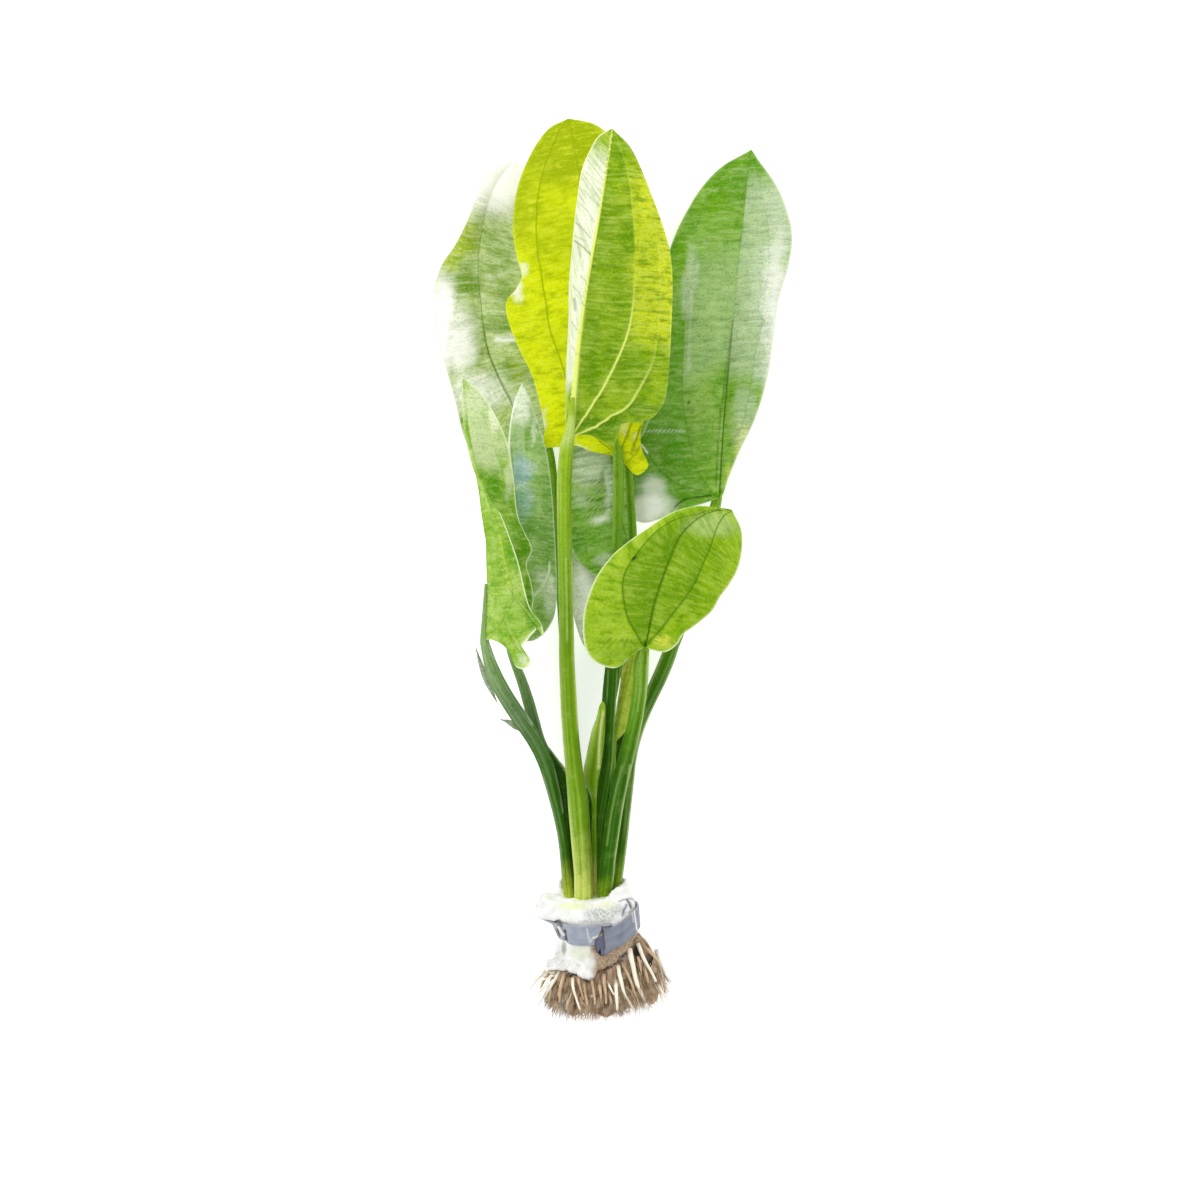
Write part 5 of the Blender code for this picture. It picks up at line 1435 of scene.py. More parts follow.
def stalkTree():
    # follows a curve with a ribbed section whose size is the curve's radius, and notes on each point how
    # far to the right and how high in the section it lies, as shares of the radius
    grow = Growth("ribbed stalk", [("Sides", "Int", 24), ("Ribs", "Float", 9.0),
                                   ("Rib depth", "Float", 0.03),
                                   ("Unevenness", "Float", 0.0002), ("Seed", "Float", 1.0),
                                   ("Finish", "Material", None)])
    path = grow.store(grow.take("Geometry"), "along", grow.node("SplineParameter", {}))
    path = grow.store(path, "girth", grow.node("InputRadius", {}))
    path = grow.store(path, "middle", grow.node("InputPosition", {}), "FLOAT_VECTOR")
    path = grow.store(path, "forward", grow.node("InputTangent", {}), "FLOAT_VECTOR")
    circle = grow.node("CurvePrimitiveCircle", {"Resolution": grow.take("Sides"), "Radius": 1.0})
    tube = grow.node("CurveToMesh", {"Curve": path, "Profile Curve": circle,
                                     "Scale": grow.node("InputRadius", {}),
                                     "Fill Caps": True})
    middle = grow.node("InputNamedAttribute", {"Name": "middle"}, data_type="FLOAT_VECTOR")
    forward = grow.node("InputNamedAttribute", {"Name": "forward"}, data_type="FLOAT_VECTOR")
    girth = grow.node("InputNamedAttribute", {"Name": "girth"}, data_type="FLOAT")
    offset = grow.vector(grow.node("InputPosition", {}), middle, "SUBTRACT")
    right = grow.vector(grow.vector(forward, (0.0, 0.0, 1.0), "CROSS_PRODUCT"), (0.0, 0.0, 0.0), "NORMALIZE")
    upward = grow.vector(right, forward, "CROSS_PRODUCT")
    side = grow.math(grow.dot(offset, right), girth, "DIVIDE")
    rise = grow.math(grow.dot(offset, upward), girth, "DIVIDE")
    tube = grow.store(tube, "side", side)
    tube = grow.store(tube, "rise", rise)
    turn = grow.math(grow.math(rise, side, "ARCTAN2"), grow.take("Ribs"), "MULTIPLY")
    depth = grow.math(grow.math(turn, 0.0, "COSINE"), grow.take("Rib depth"), "MULTIPLY")
    tube = grow.node("SetPosition", {"Geometry": tube, "Offset": grow.scale(offset, depth)})
    shift = grow.wander(120.0, grow.take("Unevenness"), grow.take("Seed"))
    tube = grow.node("SetPosition", {"Geometry": tube, "Offset": shift})
    tube = grow.node("SetShadeSmooth", {"Geometry": tube})
    return grow.finish(tube)


def makeCurve(name, path, radii):
    # the guide of a stalk, with a radius in metres at each point
    data = bpy.data.curves.new(name, "CURVE")
    data.dimensions = "3D"
    spline = data.splines.new("POLY")
    spline.points.add(len(path) - 1)
    placed = (np.asarray(path) + crownPlace) * metre
    for knot, point, radius in zip(spline.points, placed, radii):
        knot.co = (*point, 1.0)
        knot.radius = radius * metre
    return addObject(name, data)


def grownMesh(guide, tree, values, name):
    # runs the tree on the guide and gives its result as a plain mesh object
    growth = guide.modifiers.new("growth", "NODES")
    growth.node_group = tree
    for item in tree.interface.items_tree:
        if item.in_out == "INPUT" and item.name in values:
            growth[item.identifier] = values[item.name]
    bpy.context.view_layer.update()
    grown = guide.evaluated_get(bpy.context.evaluated_depsgraph_get())
    mesh = bpy.data.meshes.new_from_object(grown)
    guide.modifiers.remove(growth)
    bpy.data.objects.remove(guide, do_unlink=True)
    mesh.name = name
    return mesh


def sealMesh(mesh, lowest=0.06):
    # joins the caps, keeps the mesh over the surface and in the solids' box, and turns its faces outwards
    shape = bmesh.new()
    shape.from_mesh(mesh)
    bmesh.ops.remove_doubles(shape, verts=shape.verts, dist=0.000004)
    for vertex in shape.verts:
        vertex.co.z = max(vertex.co.z, lowest * metre)
        for axis in range(3):
            vertex.co[axis] = min(max(vertex.co[axis], solidBox[0][axis]), solidBox[1][axis])
    bmesh.ops.recalc_face_normals(shape, faces=shape.faces)
    shape.to_mesh(mesh)
    shape.free()
    mesh.shade_smooth()


def stemFoot(place):
    # where a stem that passes the crown at this place ends inside the foam
    place, axis = np.array(place, float), crownFrame()[0]
    reach = (place - crown["centre"]) @ axis
    return place + axis * (stemStyle["bottom"] - reach)


def meshPoints(mesh):
    # the mesh's points in mm, seen from the crown
    points = np.zeros(len(mesh.vertices) * 3, np.float32)
    mesh.vertices.foreach_get("co", points)
    return points.reshape(-1, 3) / metre - crownPlace


def readMark(mesh, name):
    values = np.zeros(len(mesh.vertices), np.float32)
    mesh.attributes[name].data.foreach_get("value", values)
    return values.astype(float)


def stemMarks(mesh, stem, finish, path):
    # which of the finish's colours each point has, and how strongly bands and lines show there
    points = meshPoints(mesh)
    spots = seen(points)
    side, rise = readMark(mesh, "side"), readMark(mesh, "rise")
    hidden = np.linalg.norm(path[0, :3] - np.array(stem["path"][0][:3]))
    share = (readMark(mesh, "along") * pathLength(path) - hidden) / pathLength(np.array(stem["path"]))
    share = share + stemStyle["drift"] * lumps(points, 3.0, 5)
    stage = np.interp(share, [0, finish[7], finish[8], stemStyle["highShare"], 1], [0, 1, 1, 2, 3])
    marks = {"stage": stage, "pale": np.zeros_like(side), "dark": np.zeros_like(side)}
    # bands across the side: painted highlight towards the left, painted shade towards the right, besides
    # real ribs
    for kind, place, wide, amount, start, end in stem["bands"]:
        drift = place + 0.06 * lumps(points, 12.0, 7)
        near = np.exp(-((side - drift) / wide) ** 2) * ease(spots[:, 1], end - 6, end + 6)
        near = near * (1 - ease(spots[:, 1], start - 8, start + 8)) * (0.75 + 0.25 * lumps(points, 9.0, 8))
        marks[kind] = np.maximum(marks[kind], amount * near)
    for kind, wide, amount, line in stem["lines"]:
        marks[kind] = np.maximum(marks[kind], amount * nearLine(spots, line, wide) * ease(rise, -0.4, 0.0))
    for mark, values in marks.items():
        attribute = mesh.attributes.new(mark, "FLOAT", "POINT")
        attribute.data.foreach_set("value", values.astype(np.float32))
    for spare in ("middle", "forward", "girth"):
        mesh.attributes.remove(mesh.attributes[spare])


def makeStem(name, stem, tree, seed):
    foot = (*stemFoot(stem["path"][0][:3]), stem["path"][0][3])
    path = evenPath([foot] + stem["path"] + stem["beyond"], stemStyle["sections"])
    guide = makeCurve(name + "_guide", path[:, :3], path[:, 3])
    finish = stemFinishes[stem["finish"]]
    values = {"Sides": stemStyle["sides"], "Ribs": float(stemStyle["ribs"]),
              "Rib depth": stemStyle["ribDepth"],
              "Unevenness": stemStyle["unevenness"] * metre, "Seed": float(seed),
              "Finish": stemMaterial(name + "Skin", finish)}
    mesh = grownMesh(guide, tree, values, name + "_stalk")
    sealMesh(mesh)
    stemMarks(mesh, stem, finish, path)
    piece = addObject(name + "_stalk", mesh)
    dress(piece, stem["slot"], name)
    print("stem", name, len(mesh.polygons))


# The crown's axis, which foam, strip and roots are built about. Angle 0 is right, 90 faces up.
crown = {
    "centre": np.array([0.5, 0.0, 22.0]),
    "tilt": math.radians(9),
    "lean": math.radians(5),
    "pressed": 0.05,
}


def crownFrame():
    # the crown's axis, and the directions of angles 0 and 90 about it
    tilt, lean = crown["tilt"], crown["lean"]
    axis = np.array([-math.sin(lean) * math.cos(tilt), math.cos(lean) * math.cos(tilt), math.sin(tilt)])
    across = np.array([math.cos(lean), math.sin(lean), 0.0])
    return axis, across, np.cross(across, axis)


def turned(angle, centre):
    # degrees between two directions about the crown's axis
    return np.abs((np.degrees(angle) - centre + 180) % 360 - 180)


def collar(angle, along, radius):
    # places near the crown, from angle about the axis, way along it and radius
    axis, across, up = crownFrame()
    pressed = radius * (1 - crown["pressed"] * (1 - ease(turned(angle, 270), 10, 60)))
    turnedWay = np.cos(angle)[..., None] * across + np.sin(angle)[..., None] * up
    return crown["centre"] + axis * np.asarray(along)[..., None] + turnedWay * np.asarray(pressed)[..., None]


def roundSections(profileAt, around, steps):
    # even points on the profile at each angle: their angles, ways along the crown's axis and radii
    angles = np.linspace(0, math.tau, around, endpoint=False)
    sections = []
    for angle in angles:
        profile = np.array(profileAt(angle))
        sections.append(evenPath(np.column_stack([profile, np.zeros(len(profile))]), steps)[:, :2])
    along, radius = np.moveaxis(np.array(sections), -1, 0)
    return angles[:, None] + 0 * along, along, np.maximum(radius, 0.0)


def roundPiece(name, points, marks, surface, material):
    # closes sections that run from pole to pole into one mesh
    inner = points[:, 1:-1]
    around, count = inner.shape[:2]
    vertices = np.vstack([inner.reshape(-1, 3), points[:, 0].mean(0), points[:, -1].mean(0)])
    faces = []
    for turn in range(around):
        here, there = turn * count, (turn + 1) % around * count
        for step in range(count - 1):
            faces.append((here + step, there + step, there + step + 1, here + step + 1))
        faces.append((len(vertices) - 2, there, here))
        faces.append((len(vertices) - 1, here + count - 1, there + count - 1))
    painted = {kind: np.concatenate([values[:, 1:-1].ravel(), [values[0, 0], values[0, -1]]])
               for kind, values in marks.items()}
    surface = np.vstack([surface[:, 1:-1].reshape(-1, 2), [[0, 0], [0, 0]]])
    print(name, len(faces))
    return makePiece(name, vertices, faces, material, painted, surface)


# Foam, strip and root marks drawn on as seen: patches as (kind, x, y, half width, half height, strength)
# and lines as (kind, width, strength, depth in mm, line), in pixels.
foam = {
    "tones": {"shade": (240, 242, 237), "white": (255, 255, 254), "hollow_shade": (206, 209, 202),
              "grey": (176, 183, 176), "cream": (233, 236, 216), "stain": ((150, 126, 98), (192, 170, 142)),
              "greened": (240, 246, 190), "moss": (120, 134, 108), "slate": (96, 102, 132),
              "slit": (56, 40, 38),
              "fibre": (246, 247, 244)},
    "fibres": 1500,
    "around": 260,
    "steps": 130,
    "radius": 18.5,
    "lowest": 0.03,
    "bottom": [
        (0, -17), (20, -18), (38, -20.6), (70, -25.3), (94, -27.3), (101, -31), (110, -32), (119, -30.6),
        (130, -29.4), (150, -28.8), (175, -29), (200, -28.5), (235, -26), (270, -26), (300, -22),
        (340, -17.5), (360, -17),
    ],
    # the grey marks are painted shade on the foam's shaded front, top and lower left, and along its faint
    # outline
    "patches": [
        ("grey", 600, 915, 20, 10, 1.0), ("grey", 617, 909, 9, 8, 0.9), ("grey", 592, 921, 12, 4, 0.8),
        ("grey", 541, 905, 8, 6, 0.3), ("grey", 559, 956, 7, 16, 0.6), ("cream", 581, 953, 15, 11, 0.9),
        ("moss", 564, 948, 3.4, 9, 0.7), ("grey", 548, 966, 10, 4, 0.5), ("greened", 575, 906, 22, 5, 0.8),
        ("greened", 606, 905, 14, 5, 0.5),
    ],
    "lines": [
        ("slit", 1.2, 1.0, 0.5, [(627.5, 900), (630, 903), (631.5, 908)]), ("slate", 1.5, 0.9, 0.4,
        [(627, 905), (624.5, 910), (623, 915)]), ("slate", 0.7, 0.8, 0.2, [(619, 901.5), (624, 899.5),
        (630, 898.5), (635, 900)]), ("grey", 1.0, 0.6, 0.0, [(542, 894), (540, 900), (536, 908)]),
    ],
}


def foamBottom(angle):
    table = np.array(foam["bottom"], float)
    return np.interp(np.degrees(angle) % 360, table[:, 0],
                     table[:, 1]) - 0.5 * np.sin(np.asarray(angle) * 11)


def foamProfile(angle):
    # way along and radius from the middle of the underside, out over the rim and in to the stems
    left = 1 - ease(turned(angle, 170), 6, 36)
    right = 1 - ease(turned(angle, 8), 40, 66)
    flare = 1 - ease(turned(angle, 176), 8, 32)
    lower = 1.8 * (1 - ease(turned(angle, 262), 20, 50))
    bottom = float(foamBottom(angle))
    radius = foam["radius"]
    under = [(-15.0, 0.0), (-15.0, 8.0), (-15.6, 14.0), (bottom + 1, 15.9),
             (bottom - 0.2, 17.0 + 6.5 * flare),
             (bottom + 0.6, radius - 0.3 + lower + 6.0 * flare),
             (bottom + 3, radius + 0.1 + lower + 1.6 * flare),
             (-17.3, radius), (-12, radius - 0.1), (-5.6, radius)]
    rim = np.array([(-4.0, 19.2), (-3.2, 20.4), (-2.2, 20.9), (-1.2, 20.6), (-0.3, 20.0), (1.0, 18.8),
                    (2.8, 17.6),
                    (4.4, 16.7), (4.8, 15.2)])
    corner = np.array([(-4.2, 22.5), (-3.4, 27.0), (-2.2, 28.6), (0.2, 27.8), (2.4, 26.4), (4.4, 25.2),
                       (5.6, 22.5),
                       (5.0, 18.5), (4.9, 15.6)])
    plain = np.array([(-4.4, 18.4), (-3.2, 18.4), (-2.0, 18.1), (-0.6, 17.8), (1.0, 17.4), (2.8, 17.0),
                      (5.0, 16.6),
                      (7.4, 16.0), (8.0, 14.6)])
    rim = rim + (corner - rim) * left + (plain - rim) * right
    rise = 0.7 * (1 - ease(turned(angle, 196), 6, 30))
    cuff = 2.6 * (1 - ease(turned(angle, 358), 20, 44))
    sleeve = [(4.6 + 4.4 * rise, 15.0 + 1.8 * rise), (4.4 + 7.4 * rise, 14.4 + 2.0 * rise),
              (4.3 + 8.0 * rise, 13.8 + 1.8 * rise), (4.2 + 7.0 * rise + cuff, 13.2 + 1.4 * rise)]
    inner = [(4.2 + cuff, 12.0), (3.4, 8.0), (3.6, 0.0)]
    return under + [tuple(knot) for knot in rim] + sleeve + inner


def foamMaterial():
    make = Recipe("foamWool")
    place = make.place()
    surface = make.surface()
    tangle = make.noise(place, 900.0, 6.0, 0.7)
    clump = make.remap(make.noise(place, 160.0, 3.0), 0.32, 0.6)
    tones = foam["tones"]
    base = make.mix(clump, paint(*tones["shade"]), paint(*tones["white"]))
    # painted shade in the hollows of the tangle, where the bump is low
    base = make.mix(make.remap(tangle, 0.36, 0.5, 0.3, 0.0), base, paint(*tones["hollow_shade"]))
    # painted shade on the foam, strongest in the tangle's hollows
    grey = make.times(make.mark("grey"), make.remap(tangle, 0.42, 0.6, 1.0, 0.2))
    base = make.mix(grey, base, paint(*tones["grey"]))
    base = make.mix(make.mark("cream"), base, paint(*tones["cream"]))
    stain = make.mix(make.remap(tangle, 0.38, 0.6), paint(*tones["stain"][0]), paint(*tones["stain"][1]))
    base = make.mix(make.mark("stained"), base, stain)
    for kind in ("greened", "moss", "slate", "slit"):
        base = make.mix(make.mark(kind), base, paint(*tones[kind]))
    fibres = make.noise(make.stretch(surface, (1.0, 0.25, 1.0)), 260.0, 5.0, 0.7)
    height = make.plus(make.times(tangle, 0.8), fibres)
    return make.finish(base, 0.92, make.bump(height, 0.0006, 0.7), Sheen_Weight=0.15, Sheen_Roughness=0.5,
                       Specular_IOR_Level=0.1)


def makeFoam():
    spread, along, radius = roundSections(foamProfile, foam["around"], foam["steps"])
    points = collar(spread, along, radius)
    normal = np.cross(np.roll(points, -1, axis=0) - np.roll(points, 1, axis=0), np.gradient(points, axis=1))
    normal /= np.maximum(np.linalg.norm(normal, axis=-1, keepdims=True), 1e-9)
    outward = np.sign(np.sum(normal * (points - points.mean((0, 1))), axis=-1).mean())
    normal = normal * outward
    banded = ease(along, -18.5, -16.5) * ease(-along, 4.6, 6.0) * (radius > 15)
    free = 1 - 0.85 * banded
    rim = ease(along, -5, -3) * ease(radius, 17, 20)
    crumple = (0.75 * lumps(points, 3.6, 3) + 0.4 * lumps(points, 1.5, 4) + 0.22 * lumps(points, 0.7, 5)
               + 0.9 * rim * lumps(np.stack([spread * 9, along * 0.4, 0 * along], axis=-1), 1.0, 6))
    ragged = ease(-along, 19, 24) * ease(radius, 14.5, 16)
    crumple = crumple + ragged * 0.8 * lumps(np.stack([spread * 14, along * 0.3, 0 * along], -1), 1.0, 7)
    points = points + normal * (crumple * free * 0.8)[..., None]
    points[..., 2] = np.maximum(points[..., 2], foam["lowest"])
    drift = 5 * lumps(np.stack([spread * 6, along * 0.3, 0 * along], -1), 1.0, 9)
    stained = (1 - ease(turned(spread, 38) + drift, 55, 66)) * ease(-along, 12, 14) * (radius > 15)
    stained = np.maximum(stained, 0.35 * (1 - ease(turned(spread, 250), 60, 90)) * ease(-along, 20, 27))
    marks = {"stained": stained, "greened": 0.8 * (1 - ease(radius, 10, 15.5)) * ease(along, 1, 3)}
    for kind in ("grey", "cream", "moss", "slate", "slit"):
        marks[kind] = np.zeros_like(along)
    spots = seen(points)
    front = np.sin(spread) > -0.2
    for kind, x, y, wide, high, amount in foam["patches"]:
        marks[kind] = np.maximum(marks[kind], amount * front * nearPatch(spots, x, y, wide, high))
    for kind, wide, amount, depth, line in foam["lines"]:
        near = nearLine(spots, line, wide) * front
        marks[kind] = np.maximum(marks[kind], amount * near)
        points = points - normal * (depth * near)[..., None]
    surface = np.stack([spread * 0.02, along * 0.001 + radius * 0.001], -1)
    dress(roundPiece("foam_collar", points, marks, surface, foamMaterial()), "foam", "foam_wrap")


strip = {
    # the lap tones are the face's metal made darker: painted shade on the side turned from the light
    "tones": {"face": ((138, 145, 161), (168, 174, 188)), "lap": ((106, 112, 126), (128, 134, 149)),
              "smear": (184, 190, 202), "folded_end_shade": (98, 102, 122), "speck": (96, 100, 118),
              "slot": (74, 50, 42),
              "painted_highlight": (236, 238, 228)},
    "thickness": 0.8,
    "width": (9.3, 10.5),               # of the first turn and of the lap
    "radius": 19.3,
    "growth": 0.75,
    "start": 68,
    "sweep": 374,
    "middle": (-10.2, -12.7),
    "steps": 620,
    "section": 60,
    # the pale lines paint highlights on the folded tab's sliver, the curl and the turned right edge
    # the slot lines are painted shade in the folded tab's slots and under the lap's cut edge
    "lines": [
        ("slot", 2.0, 1.0, 0.5, [(557.5, 921), (560.5, 926)]), ("slot", 1.5, 1.0, 0.4, [(557, 930),
        (559, 936)]), ("slot", 1.6, 1.0, 0.5, [(564.5, 931), (566, 941)]), ("painted_highlight", 1.1, 1.0, -0.3,
        [(558.5, 927), (561, 931), (563.5, 935)]), ("painted_highlight", 0.9, 0.8, -0.2, [(557.5, 936.5), (558.5, 940)]),
        ("painted_highlight", 1.0, 0.9, -0.3, [(593, 938), (597, 937), (601, 934)]), ("painted_highlight", 0.7, 0.7, 0.0, [(590, 941),
        (592, 940)]), ("painted_highlight", 0.9, 0.5, 0.0, [(587, 929), (588, 935), (590, 942)]),
        ("slot", 0.75, 1.0, 0.3, [(602, 926.5), (603, 933), (604, 941), (604.5, 949)]),
        ("slot", 0.8, 0.9, 0.0, [(602, 927.5), (610, 926.5), (620, 922), (628, 916)]),
        ("painted_highlight", 0.8, 0.9, 0.0, [(634, 910), (635.5, 920), (637, 930)]), ("painted_highlight", 0.6, 0.5, 0.0,
        [(632, 912), (633.5, 922)]),
    ],
}


def stripMaterial():
    make = Recipe("stripMetal")
    place = make.place()
    surface = make.surface()
    smear = make.remap(make.noise(make.stretch(surface, (1.0, 8.0, 1.0)), 45.0, 4.0, 0.6), 0.32, 0.7)
    blotch = make.remap(make.noise(place, 220.0, 3.0), 0.35, 0.7)
    speck = make.noise(place, 1500.0, 3.0, 0.7)
    tones = strip["tones"]
    face, lap = [make.mix(blotch, paint(*dull), paint(*bright))
                 for dull, bright in (tones["face"], tones["lap"])]
    # painted shade: the outer lap on the right is the same metal, darker
    base = make.mix(make.mark("lap"), face, lap)
    base = make.mix(make.times(smear, 0.3), base, paint(*tones["smear"]))
    # painted shade on the folded last end
    base = make.mix(make.mark("folded_end_shade"), base, paint(*tones["folded_end_shade"]))
    base = make.mix(make.remap(speck, 0.6, 0.74, 0.0, 0.4), base, paint(*tones["speck"]))
    # painted shade in the slots and under the lap's edge, with a tarnished brown line on the lap
    base = make.mix(make.mark("slot"), base, paint(*tones["slot"]))
    # painted highlights
    base = make.mix(make.mark("painted_highlight"), base, paint(*tones["painted_highlight"]))
    rough = make.remap(blotch, 0.0, 1.0, 0.46, 0.6)
    height = make.plus(make.times(speck, 0.4), smear)
    return make.finish(base, rough, make.bump(height, 0.00012, 0.5), Metallic=0.15, Specular_IOR_Level=0.25)


def makeStrip():
    steps, section = strip["steps"], strip["section"]
    way = np.linspace(0, 1, steps + 1)[:, None]
    degrees = strip["start"] + strip["sweep"] * way
    lap = ease(degrees, 382, 438)
    raised = 1 - ease(turned(np.radians(degrees), 8), 10, 60)
    width = strip["width"][0] + (strip["width"][1] - strip["width"][0]) * lap + raised
    middle = strip["middle"][0] + (strip["middle"][1] - strip["middle"][0]) * lap + 1.6 * raised
    share = np.concatenate([np.linspace(1, -1, section - 16), np.linspace(-1, 1, 16)])
    facing = np.where(np.arange(section) < section - 16, 1.0, -1.0)
    across = share * width / 2
    wall = strip["thickness"] / 2 * 0.86 * (1 - 0.6 * ease(np.abs(share), 0.94, 1.0))
    out = facing * wall + 0 * way
    # the last end is cut on a slant and hangs lower
    ending = ease(way, 0.965, 1.0)
    degrees = degrees + 11 * ending * ease(-across, -4.5, 0.5) * (1 - 0.6 * ease(-across, 3.0, 5.2))
    hang = -2.0 * ending * ease(-across, 1.0, 5.2)
    leftSide = 1 - ease(np.abs(degrees - 178), 30, 55)
    tilt = 1.5 * leftSide * across / width * 2
    lip = 7.6 * np.exp(-((degrees - 172) / 13) ** 2) * ease(across, 1.2, 4.4) ** 2
    radius = strip["radius"] + strip["growth"] * way + tilt + lip + 0.35 * ending
    dent = 0.16 * lumps(np.stack([degrees * 0.33, across, 0 * across], -1), 3.2, 8)
    angle = np.radians(degrees)
    points = collar(angle, middle + across + hang + 0.35 * lip, radius + out + dent)
    spots = seen(points)
    outer = (out > 0) & (np.sin(angle) > -0.3)
    marks = {"slot": np.zeros_like(across), "painted_highlight": np.zeros_like(across)}
    outwards = collar(angle, 0 * angle, 1 + 0 * angle) - crown["centre"]
    for kind, wide, amount, depth, line in strip["lines"]:
        near = nearLine(spots, line, wide) * outer
        marks[kind] = np.maximum(marks[kind], amount * near)
        points = points - outwards * (depth * near)[..., None]
    points[..., 2] = np.maximum(points[..., 2], 0.08)
    edge = np.exp(-((width / 2 - np.abs(across)) / 0.35) ** 2)
    lastEdge = ease(way, 0.994, 0.999)
    # darker along the lap's lower edge and at its cut end: tarnish, and painted shade at the cut end
    marks["slot"] = np.clip(marks["slot"] + 0.5 * np.maximum(edge * (across < 0), lastEdge) * lap, 0, 1)
    # paler along the top edge of the first turn, as a painted highlight
    marks["painted_highlight"] = np.clip(marks["painted_highlight"] + 0.25 * edge * (across > 0) * (1 - lap), 0, 1)
    # painted shade from here on, on the right of the band
    marks["lap"] = ease(degrees, 352, 366) + 0 * across
    marks["folded_end_shade"] = ease(degrees, 440.5, 443) + 0 * across
    faces = ringFaces(steps + 1, section)
    first, last = steps * section, (steps + 1) * section
    faces += [tuple(range(section))[::-1], tuple(range(first, last))]
    surface = np.stack([angle * 0.02, across * 0.001 + out * 0.001], axis=-1)
    piece = makePiece("weight_band", points.reshape(-1, 3), faces, stripMaterial(), marks, surface)
    dress(piece, "strip", "weight_strip")
    print("strip", len(faces))


roots = {
    # first and last angle, way along and radius of the tip: sides and underside
    "mains": [
        (178, 184, -36, 31), (164, 172, -41, 30), (2, -4, -38, 30), (-18, -26, -40, 31),
        (-44, -50, -44, 28), (-70, -64, -46, 25), (-96, -98, -45, 24), (-122, -126, -44, 26),
        (-150, -154, -39, 30),
    ],
    # on the side that shows: skin (0 cream, 1 tan, 2 clear), width and line in pixels
    "drawn": [
        (0, 2.4, [(553.6, 966.5), (547, 970.5), (541.7, 974), (534, 984)]), (0, 3.0, [(560, 972),
        (552.5, 984), (544, 999)]), (1, 3.6, [(564.5, 973), (560.7, 989), (560, 1003)]), (1, 3.4,
        [(571, 996), (568, 1003), (566.6, 1010)]), (0, 2.7, [(572.6, 978.4), (573.1, 987), (576.4, 999),
        (580.2, 1010)]), (1, 3.4, [(599.7, 984), (600.5, 991), (601.3, 999)]), (0, 2.3, [(607.4, 981.7),
        (610.5, 988), (614, 995)]), (1, 2.2, [(609.4, 989), (610.5, 997), (611.6, 1005.5)]), (0, 3.8,
        [(615.4, 980.6), (616.5, 994.7), (617, 1011)]), (0, 3.3, [(618, 966.5), (619.7, 976), (625, 993.6),
        (632.7, 1008.8)]), (0, 4.4, [(629.5, 949), (632.7, 965.4), (637, 983.8), (645.8, 1002.3)]), (1, 2.6,
        [(638, 957), (640, 965), (641, 972)]), (0, 3.4, [(637.5, 944), (644.7, 959), (652, 974),
        (656, 982.5)]), (0, 3.2, [(655.5, 979.5), (660, 989), (663.6, 1003)]), (1, 2.8, [(643.6, 967.6),
        (646, 975), (648, 983)]), (1, 2.8, [(644, 947), (651, 953), (657.7, 961), (662, 975),
        (665.3, 993)]), (2, 3.4, [(656, 950), (662, 965.4), (666.4, 976.2), (672, 982.7)]), (1, 3.0,
        [(584, 984), (586, 996), (588, 1006)]), (1, 2.6, [(592, 980), (594, 994), (595, 1005)]), (1, 2.6,
        [(549, 973), (543, 982), (540, 992)]), (1, 2.8, [(622, 962), (630, 980), (637, 998)]), (1, 3.2,
        [(604, 974), (605, 990), (606, 1004)]), (1, 2.4, [(578, 978), (581, 990), (584, 1000)]), (1, 2.8,
        [(555, 978), (551, 992), (549, 1003)]), (2, 2.2, [(545, 970), (536, 980), (528, 990)]), (2, 2.0,
        [(550, 985), (541, 1000), (536, 1008)]),
    ],
    "radius": 0.9,
    "bends": 26,
    "tanRoots": 90,
    "around": 240,
    "steps": 110,
    "matRadius": 18.6,
    "mat": {"brown": ((156, 128, 99), (188, 161, 129)), "thread": (202, 178, 148), "hollow_shade": (104, 80, 60),
            "tan": ((168, 146, 120), (196, 176, 150)), "gap": (46, 38, 32)},
    # pale, middle and dark colours of each skin
    "skins": {"creamRoot": ((255, 253, 238), (248, 241, 216), (216, 196, 162)),
              "tanRoot": ((214, 190, 154), (186, 158, 124), (132, 104, 78)),
              "clearRoot": ((250, 250, 246), (236, 236, 230), (200, 190, 170))},
    "fibres": 3000,
    "fibreRadius": 0.12,
    "brownTips": 1300,
    "paleTips": 430,
    "tufts": 60,
    "seed": 11,
    "softHeight": 5.0,
    # the gap patches paint the shadow in the gaps between roots; roots and fibres are kept clear of them
    "patches": [
        ("gap", 637, 953, 8, 15, 1.0), ("gap", 650, 962, 8, 18, 0.8), ("gap", 640, 968, 4, 14, 0.9),
        ("gap", 650, 967, 5, 15, 1.0), ("gap", 656, 970, 3, 14, 0.8), ("gap", 570, 975, 4, 4, 0.9),
        ("gap", 603, 977, 5, 9, 0.7), ("gap", 612, 995, 3, 12, 0.8), ("gap", 575, 1004, 3, 9, 0.6),
        ("gap", 621, 962, 6, 4, 0.7),
    ],
}


def settle(points, floorHeight):
    # lifts what would be below the surface so that it lies just over it
    room = roots["softHeight"] - floorHeight
    sunk = points[..., 2] < roots["softHeight"]
    lifted = floorHeight + room * np.exp(np.minimum(points[..., 2] - roots["softHeight"], 0) / room)
    points[..., 2] = np.where(sunk, lifted, points[..., 2])
    return points


def ballRadius(angle, along):
    # the root mass: wider towards the tips, and swelling out to the right
    swell = 1 - ease(turned(angle, 0), 10, 62)
    return (np.interp(-along, [15, 20, 30, 40, 50], [18.4, 19.0, 20.6, 22.6, 25.6])
            + swell * np.interp(-along, [17, 25, 30, 40], [0.0, 4.4, 5.0, 4.4]))


